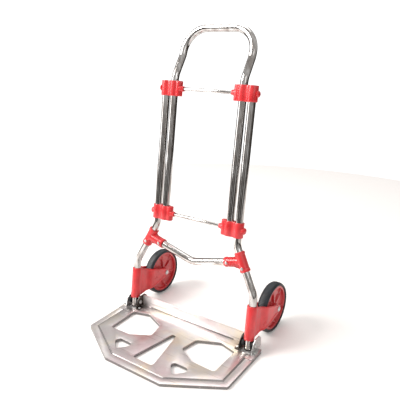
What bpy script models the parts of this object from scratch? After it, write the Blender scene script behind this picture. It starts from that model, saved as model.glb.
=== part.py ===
"""Folding hand truck: chrome tube frame, sliding handle, folding toe plate and wheels.

Metres, +Z up, +X to the cart's right seen from the load's side, +Y to the rear.
The origin is on the floor, under the middle of the cart.
"""
import bpy
import bmesh
from math import sin, cos, tan, pi, radians, hypot, atan2
from mathutils import Vector, Matrix

# ---- stance -------------------------------------------------------------
FRAME_LEAN = radians(9.0)        # frame leans back from upright
HINGE_HEIGHT = 0.022             # toe plate pivot above the floor
HINGE_Y = 0.0173                 # toe plate pivot behind the middle of the cart
CLEARANCE = 0.0003               # gap between neighbouring pieces

# ---- frame tubes --------------------------------------------------------
TUBE_RADIUS = 0.009
TUBE_WALL = 0.0015
LEG_X = 0.176                    # lower leg, from the middle of the cart
UPRIGHT_X = 0.119                # upright part of the frame tube
LEG_BEND_S = 0.117               # where the leg starts to lean inwards
UPRIGHT_BEND_S = 0.226           # where it turns upright again
FRAME_BEND_RADIUS = 0.045
FOOT_DROP = 0.014                # tube below the hinge pin
TUBE_SEGMENTS = 16
ROUND_SEGMENTS = 16
SMALL_SEGMENTS = 12
WHEEL_SEGMENTS = 32
SMOOTH_ANGLE = radians(40)       # edges sharper than this stay sharp

# ---- clamps and cross rods ----------------------------------------------
LOWER_CLAMP_S = 0.2625
UPPER_CLAMP_S = 0.570
CLAMP_HEIGHT = 0.036
CLAMP_WALL = 0.0033
CLAMP_FLOOR = 0.004
TUBE_PITCH_GAP = 0.006           # between the upright and the handle leg
ROD_RADIUS = 0.004
ROD_BOSS_RADIUS = 0.0088
ROD_BOSS_OFFSET = 0.0135         # boss centre, inwards from the handle leg
ROD_CONE_LENGTH = 0.0065
ROD_CONE_RADIUS = 0.0060
FRAME_RIVET_RADIUS = 0.0022
FRAME_RIVET_HEAD = 0.0078
FRAME_RIVET_HEIGHT = 0.0052
PAD_RADIUS = 0.0050
PAD_LENGTH = 0.0022
HOUSING_RADIUS = 0.0078          # housing of the friction pad, outside the lower clamp
HOUSING_HEIGHT = 0.0022
CAP_SEAT = 0.0012                # how far the pad's cap goes into its housing
SPRING_SHEET = 0.0006

# ---- handle -------------------------------------------------------------
HANDLE_TOP_S = 0.715
HANDLE_OFFSET = 0.038            # top bar behind the frame plane
HANDLE_KNEE_S = 0.650
HANDLE_KNEE_OFFSET = 0.024
HANDLE_BEND_ABOVE_CLAMP = 0.004
HANDLE_BEND_RADIUS = 0.045
HANDLE_CORNER_RADIUS = 0.057
HANDLE_CRANK = radians(21.0)     # how far the legs turn back above the clamps
HANDLE_RIVET_RADIUS = 0.0020
HANDLE_RIVET_HEAD = 0.0042
HANDLE_RIVET_HEIGHT = 0.0018

# ---- tees and cross tube ------------------------------------------------
TEE_ALONG = 0.040                # tee centre, down the sloping tube from its top corner
TEE_LENGTH = 0.048
TEE_WALL = 0.0036
TEE_ARM_REACH = 0.046
TEE_WEB_HALF = 0.0035
TEE_WEB_RISE = 0.008
CROSS_DROP = radians(14.0)       # slope of each half of the cross tube
CROSS_BEND_RADIUS = 0.060
CROSS_INSERT = 0.020
SCREW_HEAD_RADIUS = 0.0036
SCREW_HEAD_HEIGHT = 0.0016
SCREW_SHANK_RADIUS = 0.0018

# ---- wheels and their forks ---------------------------------------------
WHEEL_RADIUS = 0.0635
TYRE_HALF_WIDTH = 0.012
TYRE_DEPTH = 0.0125
BEAD_HALF_WIDTH = 0.004          # tyre's foot in the hub's groove
BEAD_DEPTH = 0.002
HUB_HALF_WIDTH = 0.0095
HUB_BOSS_HALF_WIDTH = 0.013
HUB_BOSS_RADIUS = 0.0115
HUB_WEB = 0.0035
HUB_RIM = 0.0055                 # depth of the hub's rim
SPOKE_COUNT = 6
AXLE_REACH = 0.107               # axle behind the leg
AXLE_RADIUS = 0.004
SLEEVE_WALL = 0.0037
SLEEVE_TOP_S = 0.094
CHEEK_GAP = 0.0155               # inner face of a cheek from the wheel's middle
CHEEK_THICKNESS = 0.004
CHEEK_EYE_RADIUS = 0.0105
FLARE_START = 0.030              # cheeks run straight back from the sleeve to here,
FLARE_END = 0.0455               # and are parallel again from here
RIVET_HEAD_RADIUS = 0.0065
RIVET_HEAD_HEIGHT = 0.0030
RING_S = 0.060                   # spring ring that holds the fork on the leg
RING_HALF = 0.0007
RING_OUTSIDE = 0.0019            # ring's outer edge, outside the tube
GROOVE_DEPTH = 0.0006
CHEEK_INSET = 0.0045             # cheek ends short of the sleeve's ends
LUG_RADIUS = 0.0045
WASHER_RADIUS = 0.0075

# ---- fold gearing -------------------------------------------------------
CROWN_TEETH = 20                 # full-circle count on the fork sleeve
GEAR_TEETH = 19                  # full-circle count on the toe plate gear
CROWN_OFFSET = 0.0026            # crown pitch circle outside the tube
TOOTH_HEIGHT = 0.0018
TOOTH_WIDTH = 0.0012
GEAR_THICKNESS = 0.0022
GEAR_HUB_RADIUS = 0.0052
GEAR_COLLAR_RADIUS = 0.0088

# ---- hinge --------------------------------------------------------------
EAR_OFFSET = 0.0165              # inner face of an ear from the leg axis
EAR_THICKNESS = 0.002
EAR_FRONT = 0.010
EAR_REAR = 0.027
EAR_TOP = 0.0172                 # above the hinge pin
EAR_FLANGE = 0.0085
EAR_FLANGE_THICKNESS = 0.0018
EAR_FLANGE_FRONT = 0.019
PIN_RADIUS = 0.003
SPACER_RADIUS = 0.0092
PIN_HEAD_RADIUS = 0.0052
PIN_HEAD_HEIGHT = 0.0022
PEG_RADIUS = 0.0015
PEG_BEHIND = 0.0066              # drive peg from the hinge pin
PEG_BELOW = 0.0020
PLUG_RIM = 0.0016
PLATE_RIVET_RADIUS = 0.0020
PLATE_RIVET_HEAD = 0.0036
PLATE_RIVET_HEIGHT = 0.0013
PLATE_RIVET_TAIL = 0.0008

# ---- toe plate ----------------------------------------------------------
PLATE_HALF_WIDTH = 0.205
PLATE_CHAMFER_Y = -0.140
PLATE_FRONT_Y = -0.213
PLATE_FRONT_HALF = 0.080
PLATE_REAR_Y = 0.0125
PLATE_TOP = 0.0090
PLATE_SHEET = 0.0016
PLATE_STEP = 0.0016              # raised middle above the border
PLATE_BORDER = 0.019
RIM_BOTTOM = 0.0008
LIP_TOP = 0.0400
NOTCH_FRONT_Y = -0.0190
NOTCH_CLEAR = 0.004
PAD_FRONT_Y = -0.036             # raised seats under the ears start here
HEM_RADIUS = 0.0017
CORNER_RADIUS = 0.006

WELD = 1e-6                      # mesh points closer than this are one point


# ---- frames of reference ------------------------------------------------
# Pieces are drawn about the hinge line. Those on the frame are drawn upright, as (across, behind, along),
# and leaned back at the end. PLACE then moves every piece behind the middle of the cart.
PLACE = Vector((0, HINGE_Y, 0))
FRAME_MATRIX = Matrix.Translation((0, 0, HINGE_HEIGHT)) @ Matrix.Rotation(-FRAME_LEAN, 4, 'X')
HANDLE_X = UPRIGHT_X - 2 * TUBE_RADIUS - TUBE_PITCH_GAP
LOBE_RADIUS = TUBE_RADIUS + CLAMP_WALL
ROD_BOSS_X = HANDLE_X - ROD_BOSS_OFFSET
ROD_END_X = HANDLE_X - TUBE_RADIUS - 0.0022      # rod ends in the clamp wall
AXLE_S = (WHEEL_RADIUS - HINGE_HEIGHT + AXLE_REACH * sin(FRAME_LEAN)) / cos(FRAME_LEAN)
CROWN_RADIUS = TUBE_RADIUS + CROWN_OFFSET
GEAR_RADIUS = CROWN_RADIUS * GEAR_TEETH / CROWN_TEETH
SLEEVE_RADIUS = TUBE_RADIUS + SLEEVE_WALL
SLEEVE_BOTTOM_S = GEAR_RADIUS + TOOTH_HEIGHT / 2 + CLEARANCE


# ---- mesh helpers -------------------------------------------------------
def material(name, colour, metallic, roughness):
    """One Principled material."""
    mat = bpy.data.materials.new(name)
    mat.use_nodes = True
    shader = mat.node_tree.nodes["Principled BSDF"]
    shader.inputs["Base Color"].default_value = (colour[0], colour[1], colour[2], 1.0)
    shader.inputs["Metallic"].default_value = metallic
    shader.inputs["Roughness"].default_value = roughness
    mat.diffuse_color = (colour[0], colour[1], colour[2], 1.0)
    return mat


def tidy(bm):
    """Merge points that lie together, drop slivers and turn the faces out."""
    bmesh.ops.remove_doubles(bm, verts=bm.verts, dist=WELD)
    bmesh.ops.dissolve_degenerate(bm, edges=bm.edges, dist=WELD)
    bmesh.ops.recalc_face_normals(bm, faces=bm.faces)


def make(name, bm):
    """Object from a bmesh, with outward faces."""
    for vert in bm.verts:
        vert.co = [round(value, 7) for value in vert.co]
    tidy(bm)
    mesh = bpy.data.meshes.new(name)
    bm.to_mesh(mesh)
    bm.free()
    obj = bpy.data.objects.new(name, mesh)
    bpy.context.scene.collection.objects.link(obj)
    return obj


def frame_axes(direction):
    """Two unit vectors square to a direction."""
    helper = Vector((0, 0, 1)) if abs(direction.z) < 0.9 else Vector((1, 0, 0))
    side = direction.cross(helper).normalized()
    other = direction.cross(side).normalized()
    return side, other


def lathe(name, start, direction, profile, segments=ROUND_SEGMENTS):
    """Closed profile of (distance along, radius) turned about an axis."""
    direction = Vector(direction).normalized()
    side, other = frame_axes(direction)
    bm = bmesh.new()
    rings = []
    for along, radius in profile:
        centre = Vector(start) + direction * along
        if radius < 1e-9:
            rings.append([bm.verts.new(centre)])
            continue
        ring = []
        for k in range(segments):
            angle = 2 * pi * k / segments
            ray = side * cos(angle) + other * sin(angle)
            ring.append(bm.verts.new(centre + ray * radius))
        rings.append(ring)
    count = len(rings)
    for i in range(count):
        here = rings[i]
        then = rings[(i + 1) % count]
        if len(here) == 1 and len(then) == 1:
            continue
        for k in range(segments):
            m = (k + 1) % segments
            if len(here) == 1:
                bm.faces.new((here[0], then[k], then[m]))
            elif len(then) == 1:
                bm.faces.new((here[k], then[0], here[m]))
            else:
                bm.faces.new((here[k], then[k], then[m], here[m]))
    return make(name, bm)


def cylinder(name, start, end, radius, segments=ROUND_SEGMENTS, chamfer=0.0):
    """Solid round bar, with chamfered ends if asked."""
    start = Vector(start)
    end = Vector(end)
    length = (end - start).length
    if chamfer > 0:
        profile = [(0, 0), (0, radius - chamfer), (chamfer, radius)]
        profile += [(length - chamfer, radius), (length, radius - chamfer), (length, 0)]
    else:
        profile = [(0, 0), (0, radius), (length, radius), (length, 0)]
    return lathe(name, start, end - start, profile, segments)


def domed(name, start, direction, shank, shank_radius, head_radius, head_height):
    """Rivet: a round shank and a domed head beyond it."""
    profile = [(0, 0), (0, shank_radius), (shank, shank_radius), (shank, head_radius)]
    profile += [(shank + head_height * 0.45, head_radius * 0.92)]
    profile += [(shank + head_height * 0.85, head_radius * 0.55), (shank + head_height, 0)]
    return lathe(name, start, direction, profile, SMALL_SEGMENTS)


def prism(name, outline, low, high, place):
    """Polygon given in two coordinates, raised along the third; place(a, b, c) gives the point."""
    bm = bmesh.new()
    bottom = [bm.verts.new(place(a, b, low)) for a, b in outline]
    top = [bm.verts.new(place(a, b, high)) for a, b in outline]
    bm.faces.new(bottom)
    bm.faces.new(top)
    count = len(outline)
    for i in range(count):
        j = (i + 1) % count
        bm.faces.new((bottom[i], bottom[j], top[j], top[i]))
    return make(name, bm)


def rounded(points, radius, steps=3):
    """Polygon with every corner turned into a short arc."""
    result = []
    count = len(points)
    for i in range(count):
        here = Vector(points[i])
        before = (Vector(points[i - 1]) - here)
        after = (Vector(points[(i + 1) % count]) - here)
        half = before.angle(after) / 2
        reach = radius / tan(half)
        reach = min(reach, before.length * 0.45, after.length * 0.45)
        real = reach * tan(half)
        first = here + before.normalized() * reach
        last = here + after.normalized() * reach
        middle = here + (before.normalized() + after.normalized()).normalized() * (real / sin(half))
        for k in range(steps + 1):
            spot = first.lerp(last, k / steps)
            ray = (spot - middle).normalized() * real
            result.append(tuple(middle + ray))
    return result


def filleted(points, radii, steps):
    """Path through corner points, each corner replaced by an arc of its own radius."""
    path = [Vector(points[0])]
    for i in range(1, len(points) - 1):
        here = Vector(points[i])
        before = Vector(points[i - 1]) - here
        after = Vector(points[i + 1]) - here
        turn = pi - before.angle(after)
        reach = radii[i - 1] * tan(turn / 2)
        first = here + before.normalized() * reach
        last = here + after.normalized() * reach
        inward = (before.normalized() + after.normalized()).normalized()
        middle = here + inward * (radii[i - 1] / cos(turn / 2))
        for k in range(steps[i - 1] + 1):
            share = k / steps[i - 1]
            spot = (first - middle) * sin((1 - share) * turn) + (last - middle) * sin(share * turn)
            path.append(middle + spot / sin(turn))
    path.append(Vector(points[-1]))
    return path


def pipe(name, path, outer, inner, segments=TUBE_SEGMENTS):
    """Tube swept along a path, with open ends and a real bore (inner 0 gives a bar)."""
    bm = bmesh.new()
    count = len(path)
    tangents = []
    for i in range(count):
        if i == 0:
            tangents.append((path[1] - path[0]).normalized())
        elif i == count - 1:
            tangents.append((path[-1] - path[-2]).normalized())
        else:
            ahead = (path[i + 1] - path[i]).normalized()
            behind = (path[i] - path[i - 1]).normalized()
            tangents.append((ahead + behind).normalized())
    side = frame_axes(tangents[0])[0]
    loops_out = []
    loops_in = []
    for i in range(count):
        if i > 0:
            turn = tangents[i - 1].rotation_difference(tangents[i])
            side = (turn @ side).normalized()
        other = tangents[i].cross(side).normalized()
        ring_out = []
        ring_in = []
        for k in range(segments):
            angle = 2 * pi * k / segments
            ray = side * cos(angle) + other * sin(angle)
            ring_out.append(bm.verts.new(path[i] + ray * outer))
            if inner > 0:
                ring_in.append(bm.verts.new(path[i] + ray * inner))
        loops_out.append(ring_out)
        loops_in.append(ring_in)
    for i in range(count - 1):
        for k in range(segments):
            m = (k + 1) % segments
            bm.faces.new((loops_out[i][k], loops_out[i][m], loops_out[i + 1][m], loops_out[i + 1][k]))
            if inner > 0:
                bm.faces.new((loops_in[i][m], loops_in[i][k], loops_in[i + 1][k], loops_in[i + 1][m]))
    for i in (0, count - 1):
        if inner > 0:
            for k in range(segments):
                m = (k + 1) % segments
                bm.faces.new((loops_out[i][k], loops_in[i][k], loops_in[i][m], loops_out[i][m]))
        else:
            bm.faces.new(loops_out[i])
    return make(name, bm)


def combine(base, other, operation):
    """Exact boolean; the second object is used up."""
    modifier = base.modifiers.new("combine", 'BOOLEAN')
    modifier.operation = operation
    modifier.solver = 'EXACT'
    modifier.object = other
    bpy.context.view_layer.update()
    depsgraph = bpy.context.evaluated_depsgraph_get()
    mesh = bpy.data.meshes.new_from_object(base.evaluated_get(depsgraph))
    old = base.data
    base.modifiers.clear()
    base.data = mesh
    bpy.data.meshes.remove(old)
    spare = other.data
    bpy.data.objects.remove(other)
    bpy.data.meshes.remove(spare)
    bm = bmesh.new()
    bm.from_mesh(mesh)
    tidy(bm)
    bm.to_mesh(mesh)
    bm.free()
    return base


def join(base, others):
    """Unite overlapping solids into one."""
    for other in others:
        combine(base, other, 'UNION')
    return base


def cut(base, cutters):
    """Take each cutter out of the base."""
    for cutter in cutters:
        combine(base, cutter, 'DIFFERENCE')
    return base


def settle(obj, name, mat, origin):
    """Final name, material, clean mesh and origin."""
    bm = bmesh.new()
    bm.from_mesh(obj.data)
    tidy(bm)
    bmesh.ops.translate(bm, verts=bm.verts, vec=-Vector(origin))
    bm.to_mesh(obj.data)
    bm.free()
    obj.data.shade_smooth()
    obj.data.set_sharp_from_angle(angle=SMOOTH_ANGLE)
    obj.location = Vector(origin) + PLACE
    obj.name = name
    obj.data.name = name
    obj.data.materials.clear()
    obj.data.materials.append(mat)
    return obj


def settle_on_frame(obj, name, mat, origin):
    """Lean a piece drawn upright back with the frame, then settle it."""
    obj.data.transform(FRAME_MATRIX)
    return settle(obj, name, mat, FRAME_MATRIX @ Vector(origin))


def at(x, back, up):
    """Point on the upright frame: across, behind, along."""
    return Vector((x, back, up))


def front_view(x, up, back):
    """Place function for outlines drawn in the frame's front view, raised backwards."""
    return at(x, back, up)


def plan(x, y, z):
    """Place function for outlines drawn in plan, raised upwards."""
    return Vector((x, y, z))


def side_name(side):
    """Word for a side."""
    return "right" if side > 0 else "left"


def in_frame(side):
    """Place function for outlines drawn in the frame's side view (behind, along), raised across."""
    return lambda back, up, across: at(side * (LEG_X + across), back, up)


# ---- frame --------------------------------------------------------------
def frame_corners(side):
    """Corner points of one frame tube, foot first."""
    top = UPPER_CLAMP_S + CLAMP_HEIGHT / 2 - CLAMP_FLOOR - CLEARANCE
    return [at(side * LEG_X, 0, -FOOT_DROP), at(side * LEG_X, 0, LEG_BEND_S),
            at(side * UPRIGHT_X, 0, UPRIGHT_BEND_S), at(side * UPRIGHT_X, 0, top)]


def frame_tube(side, mat):
    """One bent frame tube with its pin hole, ring groove and rivet hole."""
    radii = [FRAME_BEND_RADIUS, FRAME_BEND_RADIUS]
    path = filleted(frame_corners(side), radii, [4, 4])
    tube = pipe("tube", path, TUBE_RADIUS, TUBE_RADIUS - TUBE_WALL)
    reach = TUBE_RADIUS + 0.004
    pin_hole = cylinder("hole", at(side * LEG_X - reach, 0, 0), at(side * LEG_X + reach, 0, 0),
                        PIN_RADIUS + CLEARANCE, SMALL_SEGMENTS)
    wall_x = side * (UPRIGHT_X + TUBE_RADIUS - TUBE_WALL - 0.002)
    rivet_hole = cylinder("hole", at(wall_x, 0, UPPER_CLAMP_S),
                          at(side * (UPRIGHT_X + TUBE_RADIUS + 0.002), 0, UPPER_CLAMP_S),
                          FRAME_RIVET_RADIUS + CLEARANCE, SMALL_SEGMENTS)
    half = RING_HALF + CLEARANCE
    groove = lathe("groove", at(side * LEG_X, 0, RING_S), Vector((0, 0, 1)),
                   [(-half, TUBE_RADIUS - GROOVE_DEPTH), (-half, TUBE_RADIUS + 0.001),
                    (half, TUBE_RADIUS + 0.001), (half, TUBE_RADIUS - GROOVE_DEPTH)], TUBE_SEGMENTS)
    cut(tube, [pin_hole, rivet_hole, groove])
    return settle_on_frame(tube, "frame_tube_" + side_name(side), mat, at(side * LEG_X, 0, 0))


def slope_direction(side):
    """Unit vector down the sloping part of a frame tube, in frame coordinates (x, along)."""
    run = LEG_X - UPRIGHT_X
    drop = UPRIGHT_BEND_S - LEG_BEND_S
    length = hypot(run, drop)
    return side * run / length, -drop / length


def tee_centre(side):
    """Middle of a tee in frame coordinates (x, along)."""
    dx, ds = slope_direction(side)
    return side * UPRIGHT_X + dx * TEE_ALONG, UPRIGHT_BEND_S + ds * TEE_ALONG


def arm_point(side, reach):
    """Point on a tee's arm axis, a distance inwards from the tee's middle."""
    x, s = tee_centre(side)
    return x - side * reach * cos(CROSS_DROP), s - reach * sin(CROSS_DROP)


def cross_tube(mat):
    """Shallow V tube between the two tees."""
    inset = TEE_ARM_REACH - CROSS_INSERT
    left = arm_point(-1, inset)
    right = arm_point(1, inset)
    low = left[1] - abs(left[0]) * tan(CROSS_DROP)
    corners = [at(left[0], 0, left[1]), at(0, 0, low), at(right[0], 0, right[1])]
    path = filleted(corners, [CROSS_BEND_RADIUS], [4])
    tube = pipe("tube", path, TUBE_RADIUS, TUBE_RADIUS - TUBE_WALL)
    holes = [screw_hole(side, screw_spots(side)[0]) for side in (-1, 1)]
    cut(tube, holes)
    return settle_on_frame(tube, "cross_tube", mat, at(0, 0, low))


def screw_spots(side):
    """Screws of one tee: on the arm, and on the sleeve below it, in frame coordinates."""
    dx, ds = slope_direction(side)
    x, s = tee_centre(side)
    arm = arm_point(side, TEE_ARM_REACH - CROSS_INSERT * 0.45)
    return [arm, (x + dx * TEE_LENGTH * 0.30, s + ds * TEE_LENGTH * 0.30)]


def screw_hole(side, spot):
    """Cutter for a tee screw's shank."""
    outer = TUBE_RADIUS + TEE_WALL + 0.003
    return cylinder("hole", at(spot[0], -outer, spot[1]), at(spot[0], -TUBE_RADIUS + 0.004, spot[1]),
                    SCREW_SHANK_RADIUS + CLEARANCE, SMALL_SEGMENTS)


def tee(side, mat):
    """Moulded tee that joins the cross tube to a frame tube."""
    dx, ds = slope_direction(side)
    x, s = tee_centre(side)
    outer = TUBE_RADIUS + TEE_WALL
    half = TEE_LENGTH / 2
    top = at(x - dx * half, 0, s - ds * half)
    bottom = at(x + dx * half, 0, s + ds * half)
    chamfer = 0.0012
    sleeve = cylinder("sleeve", top, bottom, outer, ROUND_SEGMENTS, chamfer)
    end = arm_point(side, TEE_ARM_REACH)
    arm = cylinder("arm", at(x, 0, s), at(end[0], 0, end[1]), outer - 0.0004,
                   ROUND_SEGMENTS, chamfer)
    web_in = arm_point(side, TEE_ARM_REACH * 0.62)
    run = half * 0.85
    outline = [(x - dx * run, s - ds * run), (x + dx * run, s + ds * run)]
    outline += [(web_in[0], web_in[1] - TEE_WEB_RISE), (web_in[0], web_in[1] + TEE_WEB_RISE)]
    web = prism("web", outline, -TEE_WEB_HALF, TEE_WEB_HALF, front_view)
    join(sleeve, [arm, web])
    over = 0.004
    bore = cylinder("bore", at(x - dx * (half + over), 0, s - ds * (half + over)),
                    at(x + dx * (half + over), 0, s + ds * (half + over)),
                    TUBE_RADIUS + CLEARANCE, TUBE_SEGMENTS)
    far = arm_point(side, TEE_ARM_REACH + over)
    near = arm_point(side, TEE_ARM_REACH - CROSS_INSERT - CLEARANCE)
    socket = cylinder("bore", at(near[0], 0, near[1]), at(far[0], 0, far[1]),
                      TUBE_RADIUS + CLEARANCE, TUBE_SEGMENTS)
    holes = [screw_hole(side, spot) for spot in screw_spots(side)]
    cut(sleeve, [bore, socket] + holes)
    return settle_on_frame(sleeve, "tee_" + side_name(side), mat, at(x, 0, s))


def tee_screws(side, mat):
    """Two pan-head screws of one tee: one holds the cross tube, one the frame tube."""
    face = TUBE_RADIUS + TEE_WALL
    depth = TUBE_RADIUS + 0.0006
    away = Vector((0, -1, 0))
    for word, spot in zip(("arm_screw_", "sleeve_screw_"), screw_spots(side)):
        start = at(spot[0], -depth, spot[1])
        screw = domed("screw", start, away, face + CLEARANCE - depth, SCREW_SHANK_RADIUS, SCREW_HEAD_RADIUS,
                      SCREW_HEAD_HEIGHT)
        settle_on_frame(screw, word + side_name(side), mat, start)


# ---- clamps -------------------------------------------------------------
def lobe(x, s, radius):
    """One upright lobe of a clamp."""
    half = CLAMP_HEIGHT / 2
    return cylinder("lobe", at(x, 0, s - half), at(x, 0, s + half), radius, ROUND_SEGMENTS, 0.0010)


def clamp_block(side, s):
    """Outside of a clamp: two tube lobes, a rod boss, and the webs that fill between them."""
    half = CLAMP_HEIGHT / 2
    block = lobe(side * UPRIGHT_X, s, LOBE_RADIUS)
    middle = lobe(side * HANDLE_X, s, LOBE_RADIUS)
    inner = lobe(side * ROD_BOSS_X, s, ROD_BOSS_RADIUS)
    inset = 0.0012
    spans = ((HANDLE_X, UPRIGHT_X, LOBE_RADIUS * 0.72), (ROD_BOSS_X, HANDLE_X, ROD_BOSS_RADIUS * 0.84))
    webs = []
    for x0, x1, depth in spans:
        outline = [(side * x0, -depth), (side * x1, -depth), (side * x1, depth), (side * x0, depth)]
        webs.append(prism("web", outline, s - half + inset, s + half - inset, at))
    root = ROD_BOSS_X - 0.002
    length = root - ROD_BOSS_X + ROD_BOSS_RADIUS + ROD_CONE_LENGTH
    profile = [(0, 0), (0, ROD_BOSS_RADIUS - 0.0006), (length, ROD_CONE_RADIUS), (length, 0)]
    cone = lathe("cone", at(side * root, 0, s), (-side, 0, 0), profile, SMALL_SEGMENTS)
    return join(block, [middle, inner] + webs + [cone])


def rod_bore(side, s):
    """Cutter for the cross rod's seat."""
    tip = ROD_BOSS_X - ROD_BOSS_RADIUS - ROD_CONE_LENGTH - 0.003
    return cylinder("bore", at(side * tip, 0, s), at(side * (ROD_END_X + CLEARANCE), 0, s),
                    ROD_RADIUS + CLEARANCE, SMALL_SEGMENTS)


def upper_clamp(side, mat):
    """Clamp fixed on top of a frame tube; the handle leg slides through it."""
    s = UPPER_CLAMP_S
    half = CLAMP_HEIGHT / 2
    block = clamp_block(side, s)
    over = 0.004
    bore = cylinder("bore", at(side * HANDLE_X, 0, s - half - over), at(side * HANDLE_X, 0, s + half + over),
                    TUBE_RADIUS + CLEARANCE, TUBE_SEGMENTS)
    socket = cylinder("bore", at(side * UPRIGHT_X, 0, s - half - over),
                      at(side * UPRIGHT_X, 0, s + half - CLAMP_FLOOR), TUBE_RADIUS + CLEARANCE, TUBE_SEGMENTS)
    rivet = cylinder("bore", at(side * (UPRIGHT_X + TUBE_RADIUS - 0.001), 0, s),
                     at(side * (UPRIGHT_X + LOBE_RADIUS + over), 0, s),
                     FRAME_RIVET_RADIUS + CLEARANCE, SMALL_SEGMENTS)
    cut(block, [bore, socket, rod_bore(side, s), rivet])
    return settle_on_frame(block, "upper_clamp_" + side_name(side), mat, at(side * HANDLE_X, 0, s))


def lower_clamp(side, mat):
    """Clamp fixed on the foot of a handle leg; it slides on the frame tube."""
    s = LOWER_CLAMP_S
    half = CLAMP_HEIGHT / 2
    block = clamp_block(side, s)
    face = UPRIGHT_X + LOBE_RADIUS
    housing = cylinder("housing", at(side * (face - 0.006), 0, s), at(side * (face + HOUSING_HEIGHT), 0, s),
                       HOUSING_RADIUS, ROUND_SEGMENTS, 0.0006)
    join(block, [housing])
    over = 0.004
    bore = cylinder("bore", at(side * UPRIGHT_X, 0, s - half - over),
                    at(side * UPRIGHT_X, 0, s + half + over), TUBE_RADIUS + CLEARANCE, TUBE_SEGMENTS)
    socket = cylinder("bore", at(side * HANDLE_X, 0, s - half + CLAMP_FLOOR),
                      at(side * HANDLE_X, 0, s + half + over), TUBE_RADIUS + CLEARANCE, TUBE_SEGMENTS)
    pad = cylinder("bore", at(side * (UPRIGHT_X + TUBE_RADIUS * 0.6), 0, s),
                   at(side * (face + over), 0, s), PAD_RADIUS + CLEARANCE, SMALL_SEGMENTS)
    rivet = cylinder("bore", at(side * HANDLE_X, TUBE_RADIUS - 0.003, s),
                     at(side * HANDLE_X, LOBE_RADIUS + over, s),
                     HANDLE_RIVET_RADIUS + CLEARANCE, SMALL_SEGMENTS)
    cut(block, [bore, socket, rod_bore(side, s), pad, rivet])
    return settle_on_frame(block, "lower_clamp_" + side_name(side), mat, at(side * HANDLE_X, 0, s))


def cross_rod(name, s, mat):
    """Thin rod between the clamps of a pair."""
    rod = cylinder("rod", at(-ROD_END_X, 0, s), at(ROD_END_X, 0, s), ROD_RADIUS, SMALL_SEGMENTS, 0.0004)
    return settle_on_frame(rod, name, mat, at(0, 0, s))


def frame_rivet(side, mat):
    """Domed rivet that holds a frame tube in its upper clamp."""
    start = at(side * (UPRIGHT_X + TUBE_RADIUS - TUBE_WALL), 0, UPPER_CLAMP_S)
    shank = LOBE_RADIUS - TUBE_RADIUS + TUBE_WALL + CLEARANCE
    rivet = domed("rivet", start, (side, 0, 0), shank, FRAME_RIVET_RADIUS, FRAME_RIVET_HEAD,
                  FRAME_RIVET_HEIGHT)
    settle_on_frame(rivet, "frame_rivet_" + side_name(side), mat, start)


def handle_rivet(side, mat):
    """Rivet that holds a handle leg in its lower clamp, from behind."""
    start = at(side * HANDLE_X, TUBE_RADIUS - TUBE_WALL, LOWER_CLAMP_S)
    away = Vector((0, 1, 0))
    shank = LOBE_RADIUS - TUBE_RADIUS + TUBE_WALL + CLEARANCE
    rivet = domed("rivet", start, away, shank, HANDLE_RIVET_RADIUS, HANDLE_RIVET_HEAD, HANDLE_RIVET_HEIGHT)
    settle_on_frame(rivet, "handle_rivet_" + side_name(side), mat, start)


def friction_set(side, pad_mat, spring_mat, cap_mat):
    """Sprung pad that grips the frame tube, with its spring washer and domed cap."""
    s = LOWER_CLAMP_S
    word = side_name(side)
    x0 = UPRIGHT_X + TUBE_RADIUS + CLEARANCE
    face = UPRIGHT_X + LOBE_RADIUS + HOUSING_HEIGHT
    away = Vector((side, 0, 0))
    origin = at(side * x0, 0, s)
    pad = cylinder("pad", origin, origin + away * PAD_LENGTH, PAD_RADIUS, SMALL_SEGMENTS)
    settle_on_frame(pad, "friction_pad_" + word, pad_mat, origin)
    start = origin + away * (PAD_LENGTH + CLEARANCE)
    rise = face - x0 - PAD_LENGTH - CAP_SEAT - 2 * CLEARANCE - SPRING_SHEET
    profile = [(0, PAD_RADIUS * 0.96), (SPRING_SHEET, PAD_RADIUS * 0.96)]
    profile += [(rise + SPRING_SHEET, PAD_RADIUS * 0.52), (rise, PAD_RADIUS * 0.52)]
    spring = lathe("spring", start, away, profile, SMALL_SEGMENTS)
    settle_on_frame(spring, "pad_spring_" + word, spring_mat, start)
    seat = at(side * (face - CAP_SEAT), 0, s)
    brim = CAP_SEAT + CLEARANCE
    profile = [(0, 0), (0, PAD_RADIUS), (brim, PAD_RADIUS), (brim, HOUSING_RADIUS)]
    profile += [(brim + 0.0012, HOUSING_RADIUS * 0.97), (brim + 0.0030, HOUSING_RADIUS * 0.74)]
    profile += [(brim + 0.0040, HOUSING_RADIUS * 0.38), (brim + 0.0043, 0)]
    cap = lathe("cap", seat, away, profile, ROUND_SEGMENTS)
    settle_on_frame(cap, "pad_cap_" + word, cap_mat, seat)


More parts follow.
